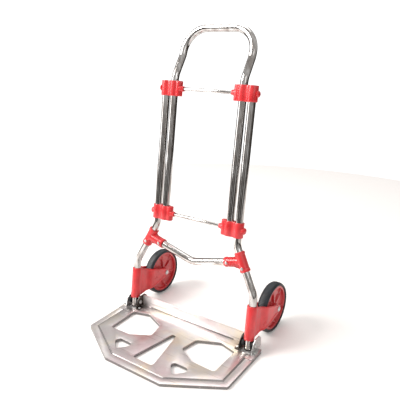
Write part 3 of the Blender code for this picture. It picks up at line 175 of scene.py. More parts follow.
def rubberFinish(name):
    mat, tree, shader, noise, bump = newFinish(name, rubberLook["black"], 0.0, 0.6)
    # bluish pale patches: dust on the rubber, and also a painted bluish highlight
    dustAndSheenMask = noise(55, 5, 0.65)
    tone = rampNode(tree, dustAndSheenMask, [(0.35, rubberLook["black"]), (0.75, rubberLook["dustAndHighlight"])])
    dress(tree, shader, tone, spread(tree, dustAndSheenMask, rubberLook["smooth"], rubberLook["rough"]))
    bump(noise(700, 3), 0.18, 0.0003)
    return mat


plateLook = {"bare": (0.74, 0.70, 0.69), "rosy": (0.68, 0.59, 0.60), "cream": (0.82, 0.73, 0.61),
             "scratch": (0.46, 0.39, 0.37), "smooth": 0.30, "rough": 0.46, "wall": 0.30, "lip": 1.12}


def plateFinish(name, shade=1.0):
    mat, tree, shader, noise, bump = newFinish(name, plateLook["bare"], 1.0 if shade == 1.0 else 0.6, 0.3)
    drift = noise(11, 4)
    tints = [tuple(min(1.0, value * shade) for value in plateLook[key]) for key in ("rosy", "bare", "cream")]
    tone = rampNode(tree, drift, [(0.35, tints[0]), (0.5, tints[1]), (0.66, tints[2])])
    brushed = noise(240, 4, 0.7, (0.05, 1.0, 1.0))
    scratches = []
    for scale, stretch, turn, start, end, depth in ((120, (0.06, 1.6, 1), 0.7, 0.66, 0.70, 0.6),
                                                    (150, (0.05, 1.4, 1), -0.9, 0.68, 0.71, 0.5)):
        streaks = noise(scale, 2, 0.5, stretch, turn)
        scratches.append(rampNode(tree, streaks, [(start, (0,)), (end, (depth,))]))
    marks = mixColours(tree, 1.0, *scratches, "ADD")
    tone = mixColours(tree, marks, tone, plateLook["scratch"])
    dress(tree, shader, tone, spread(tree, brushed, plateLook["smooth"], plateLook["rough"]))
    bump(brushed, 0.06, 0.0003)
    bump(marks, 0.10, -0.0003)
    bump(noise(22, 2), 0.12, 0.003)
    return mat


def metalFinish(name, colour, smooth, rough, scale=300):
    mat, tree, shader, noise, bump = newFinish(name, colour, 1.0, rough)
    patches = noise(scale, 4, 0.65)
    dark = tuple(value * 0.55 for value in colour)
    tone = rampNode(tree, patches, [(0.32, dark), (0.62, colour)])
    dress(tree, shader, tone, spread(tree, patches, smooth, rough))
    bump(patches, 0.10, 0.0003)
    return mat


def mouldedFinish(name, colour, rough, scale=500):
    mat, tree, shader, noise, bump = newFinish(name, colour, 0.0, rough)
    grain = noise(scale, 3)
    pale = tuple(min(1.0, value * 1.5 + 0.01) for value in colour)
    tone = rampNode(tree, grain, [(0.35, colour), (0.75, pale)])
    dress(tree, shader, tone, spread(tree, grain, rough * 0.85, min(1.0, rough * 1.15)))
    bump(grain, 0.12, 0.0003)
    return mat


chrome = chromeFinish("brightChrome", (1, 1, 0.07))
rodChrome = chromeFinish("rodChrome", (0.07, 1, 1), 0.3)
red = redFinish("redMoulding")
# wheel centres: a darker copy of the red moulding, painted shade
shadedHubRed = redFinish("shadedRedWheelCentre", 0.80, 0.05)
rubber = rubberFinish("tyreRubber")
plateMetal = plateFinish("pressedAluminium")
# a darker, less metallic copy of the plate finish: painted shade for walls, slopes, rim and underside
shadedWallMetal = plateFinish("paintedShadeAluminium", plateLook["wall"])
# a paler copy of the plate finish for the upright lip: painted light
litLipMetal = plateFinish("paintedLightAluminium", plateLook["lip"])
zinc = metalFinish("zincSteel", (0.72, 0.72, 0.71), 0.22, 0.42)
# near-black steel for the inner ears: painted shade
earShadeSteel = metalFinish("paintedShadeEarSteel", (0.11, 0.095, 0.085), 0.30, 0.55, 160)
blackPlastic = mouldedFinish("blackMoulding", (0.018, 0.018, 0.020), 0.5)
nylon = mouldedFinish("naturalNylon", (0.74, 0.72, 0.66), 0.5)
print("finishes made")


# mesh helpers
def finishMesh(name, bm, mat, body, nodes, place=leanBack, smoothAngle=38):
    bmesh.ops.remove_doubles(bm, verts=bm.verts, dist=1e-6)
    bmesh.ops.recalc_face_normals(bm, faces=bm.faces)
    mesh = bpy.data.meshes.new(name)
    bm.to_mesh(mesh)
    bm.free()
    mesh.transform(place)
    mesh.materials.append(mat)
    mesh.shade_smooth()
    mesh.set_sharp_from_angle(angle=radians(smoothAngle))
    piece = addObject(name, mesh)
    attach(piece, body)
    if nodes:
        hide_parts(*nodes)
    return piece


def squareAxes(direction):
    helper = Vector((0, 0, 1)) if abs(direction.z) < 0.9 else Vector((1, 0, 0))
    side = direction.cross(helper).normalized()
    return side, direction.cross(side).normalized()


def lathe(start, direction, profile, segments=40):
    # profile holds (along, radius) pairs; radius 0 closes it on the axis, otherwise it closes on itself
    bm = bmesh.new()
    direction = Vector(direction).normalized()
    side, other = squareAxes(direction)
    rings = []
    for along, radius in profile:
        centre = Vector(start) + direction * along
        if radius < 1e-9:
            rings.append([bm.verts.new(centre)])
            continue
        rings.append([bm.verts.new(centre + side * (radius * cos(2 * pi * k / segments))
                                   + other * (radius * sin(2 * pi * k / segments))) for k in range(segments)])
    for i, here in enumerate(rings):
        then = rings[(i + 1) % len(rings)]
        if len(here) == 1 and len(then) == 1:
            continue
        for k in range(segments):
            m = (k + 1) % segments
            if len(here) == 1:
                bm.faces.new((here[0], then[k], then[m]))
            elif len(then) == 1:
                bm.faces.new((here[k], then[0], here[m]))
            else:
                bm.faces.new((here[k], then[k], then[m], here[m]))
    return bm


def roundedRod(start, end, radius, edge=0.0006, segments=40):
    start, end = Vector(start), Vector(end)
    length = (end - start).length
    profile = [(0, 0), (0, radius - edge), (edge * 0.3, radius - edge * 0.3), (edge, radius)]
    profile += [(length - edge, radius), (length - edge * 0.3, radius - edge * 0.3), (length, radius - edge)]
    profile += [(length, 0)]
    return lathe(start, end - start, profile, segments)


def bridge(bm, here, then):
    for i in range(len(here)):
        j = (i + 1) % len(here)
        bm.faces.new((here[i], here[j], then[j], then[i]))


def flat(a, b, c):
    return (a, b, c)


def standing(a, b, c):
    return (a, c, b)


def prism(outline, low, high, place):
    bm = bmesh.new()
    bottom = [bm.verts.new(place(a, b, low)) for a, b in outline]
    top = [bm.verts.new(place(a, b, high)) for a, b in outline]
    bm.faces.new(bottom)
    bm.faces.new(top)
    bridge(bm, bottom, top)
    return bm


def bentPath(points, radii, steps):
    path = [Vector(points[0])]
    for i in range(1, len(points) - 1):
        here = Vector(points[i])
        before, after = Vector(points[i - 1]) - here, Vector(points[i + 1]) - here
        turn = pi - before.angle(after)
        reach = radii[i - 1] * tan(turn / 2)
        first, last = here + before.normalized() * reach, here + after.normalized() * reach
        inward = (before.normalized() + after.normalized()).normalized()
        middle = here + inward * (radii[i - 1] / cos(turn / 2))
        for k in range(steps + 1):
            share = k / steps
            spot = (first - middle) * sin((1 - share) * turn) + (last - middle) * sin(share * turn)
            path.append(middle + spot / sin(turn))
    path.append(Vector(points[-1]))
    return path


def pipe(path, outer, inner, segments=40):
    bm = bmesh.new()
    tangents = []
    for i in range(len(path)):
        ahead = (path[i + 1] - path[i]) if i < len(path) - 1 else path[i] - path[i - 1]
        behind = (path[i] - path[i - 1]) if i else ahead
        tangents.append((ahead.normalized() + behind.normalized()).normalized())
    side = squareAxes(tangents[0])[0]
    outside, inside = [], []
    for i, spot in enumerate(path):
        if i:
            side = (tangents[i - 1].rotation_difference(tangents[i]) @ side).normalized()
        other = tangents[i].cross(side).normalized()
        rays = [side * cos(2 * pi * k / segments) + other * sin(2 * pi * k / segments) for k in range(segments)]
        outside.append([bm.verts.new(spot + ray * outer) for ray in rays])
        inside.append([bm.verts.new(spot + ray * inner) for ray in rays])
    for i in range(len(path) - 1):
        for k in range(segments):
            m = (k + 1) % segments
            bm.faces.new((outside[i][k], outside[i][m], outside[i + 1][m], outside[i + 1][k]))
            bm.faces.new((inside[i][m], inside[i][k], inside[i + 1][k], inside[i + 1][m]))
    for end in (0, -1):
        for k in range(segments):
            m = (k + 1) % segments
            bm.faces.new((outside[end][k], inside[end][k], inside[end][m], outside[end][m]))
    return bm


def solid(bm):
    bmesh.ops.remove_doubles(bm, verts=bm.verts, dist=1e-6)
    bmesh.ops.recalc_face_normals(bm, faces=bm.faces)
    mesh = bpy.data.meshes.new("part")
    bm.to_mesh(mesh)
    bm.free()
    return addObject("part", mesh)


def carve(base, others, operation):
    # the other solids are used up; the base keeps the result
    for other in others:
        modifier = base.modifiers.new("carve", "BOOLEAN")
        modifier.operation = operation
        modifier.solver = "EXACT"
        modifier.object = other
        bpy.context.view_layer.update()
        mesh = bpy.data.meshes.new_from_object(base.evaluated_get(bpy.context.evaluated_depsgraph_get()))
        base.modifiers.clear()
        base.data = mesh
        bpy.data.objects.remove(other)
    return base


def softenEdges(piece, width, segments=3, angle=32):
    bevel = piece.modifiers.new("softEdges", "BEVEL")
    bevel.width = width
    bevel.segments = segments
    bevel.limit_method = "ANGLE"
    bevel.angle_limit = radians(angle)
    return piece


def bore(start, end, radius, segments=48):
    # clearance is added to the radius of what goes through
    return solid(roundedRod(start, end, radius + stance["gap"], 0.0001, segments))


def release(piece):
    # back to a bmesh, with modifiers applied
    bpy.context.view_layer.update()
    mesh = bpy.data.meshes.new_from_object(piece.evaluated_get(bpy.context.evaluated_depsgraph_get()))
    bm = bmesh.new()
    bm.from_mesh(mesh)
    bpy.data.objects.remove(piece)
    return bm


# tubes
tubes = {"radius": 0.009, "wall": 0.0015, "uprightX": 0.119, "handleX": 0.095, "legBend": 0.117,
         "uprightBend": 0.226, "bendRadius": 0.045, "foot": -0.014, "frameTop": 0.5837, "segments": 48}


def tubeAlong(corners, radii):
    path = bentPath(corners, radii, 14)
    return pipe(path, tubes["radius"], tubes["radius"] - tubes["wall"], tubes["segments"])


def frameTube(word):
    side = sides[word]
    leg = side * stance["legX"]
    top = side * tubes["uprightX"]
    corners = [(leg, 0, tubes["foot"]), (leg, 0, tubes["legBend"]), (top, 0, tubes["uprightBend"]),
               (top, 0, tubes["frameTop"])]
    bm = tubeAlong(corners, [tubes["bendRadius"]] * 2)
    return finishMesh("frameTube_" + word, bm, chrome, "frame", ["frame_tube_" + word])


handle = {"foot": 0.2488, "topBar": 0.715, "back": 0.038, "kneeUp": 0.650, "kneeBack": 0.024, "bend": 0.6003,
          "bendRadius": 0.045, "cornerRadius": 0.057}


def handleTube():
    knee = max(handle["kneeUp"], handle["bend"] + 0.030)
    corners = []
    for side in (1, -1):
        x = side * tubes["handleX"]
        leg = [(x, 0, handle["foot"]), (x, 0, handle["bend"]), (x, handle["kneeBack"], knee),
               (x, handle["back"], handle["topBar"])]
        corners += leg if side > 0 else leg[::-1]
    radii = [handle["bendRadius"], handle["bendRadius"], handle["cornerRadius"]]
    bm = tubeAlong(corners, radii + radii[::-1])
    return finishMesh("handleTube", bm, chrome, "handle", ["handle_tube"])


tee = {"along": 0.040, "length": 0.048, "wall": 0.0036, "armReach": 0.046, "drop": radians(14.0), "insert": 0.020,
       "crossBend": 0.060, "rib": 0.0010, "rings": 4, "webHalf": 0.0040}


def slopeOf(side):
    run, fall = stance["legX"] - tubes["uprightX"], tubes["uprightBend"] - tubes["legBend"]
    length = sqrt(run * run + fall * fall)
    return side * run / length, -fall / length


def teeMiddle(side):
    dx, ds = slopeOf(side)
    return side * tubes["uprightX"] + dx * tee["along"], tubes["uprightBend"] + ds * tee["along"]


def armSpot(side, reach):
    x, s = teeMiddle(side)
    return x - side * reach * cos(tee["drop"]), s - reach * sin(tee["drop"])


def crossTube():
    ends = [armSpot(side, tee["armReach"] - tee["insert"]) for side in (-1, 1)]
    low = ends[0][1] - abs(ends[0][0]) * tan(tee["drop"])
    corners = [(ends[0][0], 0, ends[0][1]), (0, 0, low), (ends[1][0], 0, ends[1][1])]
    bm = tubeAlong(corners, [tee["crossBend"]])
    return finishMesh("crossTube", bm, rodChrome, "frame", ["cross_tube"])


rods = {"radius": 0.004, "endX": 0.0838, "upper": 0.570, "lower": 0.2625}


def crossRod(word, body):
    up = rods[word]
    bm = roundedRod((-rods["endX"], 0, up), (rods["endX"], 0, up), rods["radius"], 0.0008, 32)
    return finishMesh(word + "Rod", bm, rodChrome, body, [word + "_rod"])


for word in sides:
    frameTube(word)
handleTube()
crossTube()
crossRod("upper", "frame")
crossRod("lower", "handle")
print("tubes and rods made")


# tees
def makeTee(word):
    side = sides[word]
    dx, ds = slopeOf(side)
    x, s = teeMiddle(side)
    outer = tubes["radius"] + tee["wall"]
    half = tee["length"] / 2
    down = Vector((dx, 0, ds))
    centre = Vector((x, 0, s))
    rib = tee["rib"]
    profile = [(-half, 0), (-half, outer - 0.0012), (-half + 0.0004, outer - 0.0003), (-half + 0.0012, outer)]
    profile += [(-half + 0.0062, outer), (-half + 0.0074, outer - rib), (half - 0.0074, outer - rib)]
    profile += [(half - 0.0062, outer), (half - 0.0012, outer), (half - 0.0004, outer - 0.0003)]
    profile += [(half, outer - 0.0012), (half, 0)]
    sleeve = solid(lathe(centre, down, profile))
    armEnd = armSpot(side, tee["armReach"])
    arm = Vector((armEnd[0] - x, 0, armEnd[1] - s))
    reach = arm.length
    wide = outer - 0.0004
    profile = [(0, 0), (0, wide - rib)]
    for k in range(tee["rings"]):
        near = 0.0165 + k * 0.0052
        profile += [(near, wide - rib), (near + 0.0005, wide - rib * 0.25), (near + 0.0017, wide - rib * 0.25)]
        profile += [(near + 0.0022, wide - rib)]
    profile += [(reach - 0.0074, wide - rib), (reach - 0.0062, wide)]
    profile += [(reach - 0.0012, wide), (reach - 0.0004, wide - 0.0003), (reach, wide - 0.0012), (reach, 0)]
    armSolid = solid(lathe(centre, arm, profile))
    inner = armSpot(side, tee["armReach"] * 0.62)
    run = half * 0.84
    web = [(x - dx * run, s - ds * run), (x + dx * run, s + ds * run), (inner[0], inner[1] - 0.0088),
           (inner[0], inner[1] + 0.0088)]
    webSolid = solid(prism(web, -tee["webHalf"], tee["webHalf"], standing))
    bosses = []
    for spot in teeScrewSpots(side):
        bosses.append(solid(roundedRod((spot[0], -0.004, spot[1]), (spot[0], -outer - 0.0001, spot[1]), 0.0052,
                                       0.0008, 28)))
    carve(sleeve, [armSolid, webSolid] + bosses, "UNION")
    through = bore(centre - down * (half + 0.004), centre + down * (half + 0.004), tubes["radius"])
    near = armSpot(side, tee["armReach"] - tee["insert"] - stance["gap"])
    far = armSpot(side, tee["armReach"] + 0.004)
    socket = bore((near[0], 0, near[1]), (far[0], 0, far[1]), tubes["radius"])
    carve(sleeve, [through, socket], "DIFFERENCE")
    return finishMesh("tee_moulding_" + word, release(sleeve), red, "frame", ["tee_" + word], smoothAngle=30)


def teeScrewSpots(side):
    dx, ds = slopeOf(side)
    x, s = teeMiddle(side)
    arm = armSpot(side, tee["armReach"] - tee["insert"] * 0.45)
    return [arm, (x + dx * tee["length"] * 0.30, s + ds * tee["length"] * 0.30)]


# clamps
clamp = {"upper": 0.570, "lower": 0.2625, "height": 0.036, "lobe": 0.0123, "bossX": 0.0815, "boss": 0.0088,
         "floor": 0.004, "coneLength": 0.0065, "coneRadius": 0.0060, "edge": 0.0016, "webOuter": 0.0090,
         "webInner": 0.0074, "housing": 0.0078, "housingHeight": 0.0022, "padBore": 0.0053}


def clampHeightAt(x):
    # half depth of the clamp's plan at x, lobes and webs melted together
    lobes = [(tubes["uprightX"], clamp["lobe"]), (tubes["handleX"], clamp["lobe"]), (clamp["bossX"], clamp["boss"])]
    heights = [sqrt(max(radius * radius - (x - middle) ** 2, 0)) for middle, radius in lobes]
    if tubes["handleX"] <= x <= tubes["uprightX"]:
        heights.append(clamp["webOuter"])
    if clamp["bossX"] <= x <= tubes["handleX"]:
        heights.append(clamp["webInner"])
    tallest = max(heights)
    if tallest < 1e-9:
        return 0.0
    return min(clamp["lobe"], tallest * sum((h / tallest) ** 14 for h in heights) ** (1 / 14))


def evenLoop(points, spacing, passes):
    # closed outline with even spacing, its creases eased by a few smoothing passes
    closed = [Vector(point) for point in points]
    closed.append(closed[0])
    lengths = [0.0]
    for here, then in zip(closed, closed[1:]):
        lengths.append(lengths[-1] + (then - here).length)
    count = round(lengths[-1] / spacing)
    even, i = [], 0
    for k in range(count):
        want = lengths[-1] * k / count
        while lengths[i + 1] < want:
            i += 1
        even.append(closed[i].lerp(closed[i + 1], (want - lengths[i]) / max(lengths[i + 1] - lengths[i], 1e-12)))
    for _ in range(passes):
        even = [even[k] * 0.5 + (even[k - 1] + even[(k + 1) % count]) * 0.25 for k in range(count)]
    return [tuple(point) for point in even]


def clampOutline(side):
    low, high = clamp["bossX"] - clamp["boss"], tubes["uprightX"] + clamp["lobe"]
    spots = []
    for k in range(601):
        x = low + (high - low) * (1 - cos(pi * k / 600)) / 2
        spots.append((x, clampHeightAt(x)))
    front = [(side * x, -y) for x, y in spots]
    back = [(side * x, y) for x, y in reversed(spots[1:-1])]
    return evenLoop(front + back, 0.0009, 4)


def insetLoop(points, distance):
    area = sum(points[i - 1][0] * points[i][1] - points[i][0] * points[i - 1][1] for i in range(len(points)))
    sign = 1 if area > 0 else -1
    moved = []
    for i, (a, b) in enumerate(points):
        before, after = Vector(points[i - 1]), Vector(points[(i + 1) % len(points)])
        along = (after - before).normalized()
        moved.append((a - sign * along.y * distance, b + sign * along.x * distance))
    return moved


def stackLoops(loops):
    # closed body from a pile of equal loops of points, capped at both ends
    bm = bmesh.new()
    rings = [[bm.verts.new(point) for point in loop] for loop in loops]
    for here, then in zip(rings, rings[1:]):
        bridge(bm, here, then)
    bm.faces.new(rings[0])
    bm.faces.new(rings[-1])
    return bm


def roundedBlock(outline, low, high, edge, place):
    levels = [(low, edge), (low + edge * 0.12, edge * 0.5), (low + edge * 0.45, edge * 0.16), (low + edge, 0),
              (high - edge, 0), (high - edge * 0.45, edge * 0.16), (high - edge * 0.12, edge * 0.5), (high, edge)]
    return stackLoops([[place(a, b, level) for a, b in insetLoop(outline, inset)] for level, inset in levels])


def makeClamp(kind, word):
    side = sides[word]
    s = clamp[kind]
    half = clamp["height"] / 2
    block = solid(roundedBlock(clampOutline(side), s - half, s + half, clamp["edge"], flat))
    root = clamp["bossX"] - 0.002
    length = clamp["boss"] + clamp["coneLength"] - 0.002
    profile = [(0, 0), (0, clamp["boss"] - 0.0004), (length * 0.35, clamp["boss"] - 0.0006)]
    profile += [(length * 0.62, clamp["coneRadius"] + 0.0008), (length - 0.0006, clamp["coneRadius"])]
    profile += [(length, clamp["coneRadius"] - 0.0006), (length, 0)]
    cone = solid(lathe((side * root, 0, s), (-side, 0, 0), profile, 32))
    extras = [cone]
    face = tubes["uprightX"] + clamp["lobe"]
    if kind == "lower":
        extras.append(solid(roundedRod((side * (face - 0.006), 0, s), (side * (face + clamp["housingHeight"]), 0, s),
                                       clamp["housing"], 0.0006, 32)))
    carve(block, extras, "UNION")
    free = tubes["handleX"] if kind == "upper" else tubes["uprightX"]
    held = tubes["uprightX"] if kind == "upper" else tubes["handleX"]
    cutters = [bore((side * free, 0, s - half - 0.004), (side * free, 0, s + half + 0.004), tubes["radius"])]
    if kind == "upper":
        low, high = s - half - 0.004, s + half - clamp["floor"]
    else:
        low, high = s - half + clamp["floor"], s + half + 0.004
    cutters.append(bore((side * held, 0, low), (side * held, 0, high), tubes["radius"]))
    tip = clamp["bossX"] - clamp["boss"] - clamp["coneLength"] - 0.003
    cutters.append(bore((side * tip, 0, s), (side * (rods["endX"] + stance["gap"]), 0, s), rods["radius"], 24))
    if kind == "lower":
        cutters.append(solid(roundedRod((side * (tubes["uprightX"] + 0.006), 0, s), (side * (face + 0.006), 0, s),
                                        clamp["padBore"], 0.0001, 24)))
    carve(block, cutters, "DIFFERENCE")
    body = "frame" if kind == "upper" else "handle"
    return finishMesh(kind + "Clamp_" + word, release(block), red, body, [kind + "_clamp_" + word],
                      smoothAngle=30)


for word in sides:
    makeTee(word)
    makeClamp("upper", word)
    makeClamp("lower", word)
print("tees and clamps made")


# wheels
wheel = {"radius": 0.0635, "halfWidth": 0.012, "depth": 0.0075, "reach": 0.107, "ribs": 108, "ribDepth": 0.00045,
         "hubHalf": 0.0095, "bossHalf": 0.013, "bossRadius": 0.0115, "web": 0.0018, "spokes": 6, "axle": 0.004,
         "swirl": 0.55, "bead": 0.004, "beadDepth": 0.002}
wheel["up"] = (wheel["radius"] - stance["hingeZ"] + wheel["reach"] * sin(stance["lean"])) / cos(stance["lean"])


def step(edge0, edge1, value):
    share = min(max((value - edge0) / (edge1 - edge0), 0.0), 1.0)
    return share * share * (3 - 2 * share)


def wheelCentre(side):
    return Vector((side * stance["legX"], wheel["reach"], wheel["up"]))


def roundAxle(side, along, radius, turn):
    return wheelCentre(side) + Vector((along, radius * cos(turn), radius * sin(turn)))


def makeTyre(word):
    w, r = wheel["halfWidth"], wheel["radius"]
    seat = r - wheel["depth"]
    half = [(0.0, r), (w * 0.30, r), (w * 0.50, r - 0.0003), (w * 0.70, r - 0.0010), (w * 0.86, r - 0.0024)]
    half += [(w * 0.96, r - 0.0042), (w, r - 0.0062), (w, seat + 0.0038), (w - 0.0006, seat + 0.0022)]
    half += [(w - 0.0016, seat + 0.0006), (w - 0.0024, seat), (wheel["bead"] + 0.0015, seat)]
    half += [(wheel["bead"], seat - wheel["beadDepth"])]
    profile = half + [(-a, q) for a, q in reversed(half[1:])]
    segments = wheel["ribs"] * 4
    bm = bmesh.new()
    rings = []
    for k in range(segments):
        turn = 2 * pi * k / segments
        groove = 1.0 if k % 4 in (2, 3) else 0.0
        ring = []
        for along, radius in profile:
            tread = step(r - 0.0048, r - 0.0018, radius)
            deep = radius - wheel["ribDepth"] * groove * tread
            ring.append(bm.verts.new(roundAxle(sides[word], along, deep, turn)))
        rings.append(ring)
    for k in range(segments):
        bridge(bm, rings[k], rings[(k + 1) % segments])
    return finishMesh("tyreRubber_" + word, bm, rubber, "wheel_" + word, ["tyre_" + word],
                      smoothAngle=28)


def hubFace(radius, angle, flip):
    # half thickness of the wheel centre at a radius and angle: rim ring, dished web, swept spokes and boss
    seat = wheel["radius"] - wheel["depth"] - stance["gap"]
    rim = step(seat - 0.0066, seat - 0.0052, radius)
    ledge = step(seat - 0.0110, seat - 0.0085, radius) * 0.0016
    boss = 1 - step(wheel["bossRadius"] - 0.0002, wheel["bossRadius"] + 0.0012, radius)
    shoulder = (1 - step(wheel["bossRadius"] + 0.001, wheel["bossRadius"] + 0.006, radius)) * 0.0022
    height = wheel["web"] + ledge + shoulder
    share = (radius - wheel["bossRadius"]) / (seat - wheel["bossRadius"])
    sweep = angle * flip - wheel["swirl"] * share * share
    pitch = 2 * pi / wheel["spokes"]
    offset = abs((sweep % pitch) - pitch / 2) * radius
    width = 0.0022 + 0.0012 * (1 - share)
    spoke = (1 - step(width, width + 0.0010, offset)) * (0.0046 - 0.0010 * share)
    height = max(height, wheel["web"] + spoke)
    height = height + (wheel["hubHalf"] - height) * rim
    return height + (wheel["bossHalf"] - height) * boss


def makeHub(word):
    seat = wheel["radius"] - wheel["depth"] - stance["gap"]
    hole = wheel["axle"] + stance["gap"]
    radii = [hole, hole + 0.0006, 0.0080, wheel["bossRadius"] - 0.0004, wheel["bossRadius"]]
    radii += [wheel["bossRadius"] + 0.0006 * k for k in range(1, 4)]
    radii += [wheel["bossRadius"] + 0.003 + 0.0021 * k for k in range(11)]
    radii += [seat - 0.0110 + 0.0006 * k for k in range(1, 19)]
    radii = sorted({round(value, 5) for value in radii if value < seat - 0.0002})
    segments = 192
    bm = bmesh.new()
    sheets = []
    for sign in (1, -1):
        sheet = []
        for radius in radii:
            ring = []
            for k in range(segments):
                turn = 2 * pi * k / segments
                high = hubFace(radius, turn, sign)
                if radius <= hole + 0.0004:
                    high -= 0.0005
                ring.append(bm.verts.new(roundAxle(sides[word], sign * high, radius, turn)))
            sheet.append(ring)
        bead = wheel["bead"] + stance["gap"]
        for along, radius in ((wheel["hubHalf"], seat - 0.0006), (wheel["hubHalf"] - 0.0006, seat),
                              (bead + 0.0015, seat), (bead, seat - wheel["beadDepth"])):
            sheet.append([bm.verts.new(roundAxle(sides[word], sign * along, radius, 2 * pi * k / segments))
                          for k in range(segments)])
        sheets.append(sheet)
    for sheet in sheets:
        for here, then in zip(sheet, sheet[1:]):
            bridge(bm, here, then)
    for level in (0, -1):
        bridge(bm, sheets[0][level], sheets[1][level])
    return finishMesh("wheelCentre_" + word, bm, shadedHubRed, "wheel_" + word, ["wheel_hub_" + word],
                      smoothAngle=50)


for word in sides:
    makeTyre(word)
    makeHub(word)
print("wheels made")


# forks
fork = {"wall": 0.0037, "bottom": 0.01223, "top": 0.094, "inset": 0.0045, "cheekGap": 0.0155, "cheek": 0.004,
        "eye": 0.0105, "flareStart": 0.030, "flareEnd": 0.0455, "lug": 0.0045, "edge": 0.0010, "ribHigh": 0.0010,
        "sunk": 0.0024}


def cheekEdges(back):
    # lower and upper edge of a cheek at a distance behind the leg
    sleeve = tubes["radius"] + fork["wall"]
    low, high = fork["bottom"] + fork["inset"], fork["top"] - fork["inset"]
    eyeX, eyeS, eye = wheel["reach"], wheel["up"], fork["eye"]
    lowX, lowS = eyeX + eye * cos(radians(-72)), eyeS + eye * sin(radians(-72))
    highX, highS = eyeX + eye * cos(radians(78)), eyeS + eye * sin(radians(78))
    if back <= sleeve:
        return low, high
    bottom = low + (lowS - low) * (back - sleeve) / (lowX - sleeve)
    top = high + (highS - high) * (back - sleeve) / (highX - sleeve)
    if back > highX:
        top = eyeS + sqrt(max(eye * eye - (back - eyeX) ** 2, 0))
    if back > lowX:
        bottom = eyeS - sqrt(max(eye * eye - (back - eyeX) ** 2, 0))
    return bottom, top


def cheekAcross(back):
    sleeve = tubes["radius"] + fork["wall"]
    root = sleeve - fork["sunk"] - fork["cheek"] / 2
    flat = fork["cheekGap"] + fork["cheek"] / 2
    return root + (flat - root) * step(fork["flareStart"] - 0.004, fork["flareEnd"] + 0.003, back)


def makeCheek(side, sign):
    end = wheel["reach"] + fork["eye"]
    columns = [end * k / 30 for k in range(31)]
    columns = [value for value in columns if value < end - 0.009]
    columns += [end - 0.009 * (1 - sin(pi / 2 * k / 7)) for k in range(8)]
    rows = 12
    edge = fork["edge"]
    half = fork["cheek"] / 2
    bm = bmesh.new()
    layers = [(-half, edge * 0.9), (-half * 0.86, edge * 0.30), (-half * 0.5, 0.0), (half * 0.5, 0.0),
              (half * 0.86, edge * 0.30), (half, edge * 0.9)]
    loops = []
    for across, inset in layers:
        grid = []
        for back in columns:
            bottom, top = cheekEdges(min(back, end - 0.00002))
            here = back - inset if back > end - 0.009 else back
            low, high = bottom + inset, top - inset
            if high < low:
                low = high = (low + high) / 2
            middle = side * (stance["legX"] + sign * (cheekAcross(back) + across))
            grid.append([Vector((middle, here, low + (high - low) * k / rows)) for k in range(rows + 1)])
        loops.append(grid)
    def rim(grid):
        lower = [column[0] for column in grid]
        upper = [column[-1] for column in grid]
        return lower + grid[-1][1:-1] + upper[::-1] + grid[0][-2:0:-1]
    rings = [[bm.verts.new(point) for point in rim(grid)] for grid in loops]
    for here, then in zip(rings, rings[1:]):
        bridge(bm, here, then)
    for grid in (loops[0], loops[-1]):
        verts = [[bm.verts.new(point) for point in column] for column in grid]
        for a, b in zip(verts, verts[1:]):
            for k in range(rows):
                bm.faces.new((a[k], a[k + 1], b[k + 1], b[k]))
    bmesh.ops.remove_doubles(bm, verts=bm.verts, dist=2e-6)
    bmesh.ops.dissolve_degenerate(bm, edges=bm.edges, dist=1e-6)
    return bm


def cheekBand(side, sign, spots, width):
    # raised rib on a cheek's outer face, along (behind, along) points
    loops = []
    for i, (back, up) in enumerate(spots):
        before = Vector(spots[max(i - 1, 0)])
        after = Vector(spots[min(i + 1, len(spots) - 1)])
        along = (after - before).normalized()
        flank = Vector((-along.y, along.x))
        thin = 0.35 if i in (0, len(spots) - 1) else 1.0
        loop = []
        for shift, lift in ((-0.5, -0.6), (-0.5, 0.35), (-0.32, 0.92), (0.0, 1.0), (0.32, 0.92), (0.5, 0.35),
                            (0.5, -0.6)):
            b, u = back + flank.x * width * shift * thin, up + flank.y * width * shift * thin
            out = cheekAcross(b) + fork["cheek"] / 2 + fork["ribHigh"] * (lift if lift < 0 else lift * thin)
            loop.append((side * (stance["legX"] + sign * out), b, u))
        loops.append(loop)
    return stackLoops(loops)


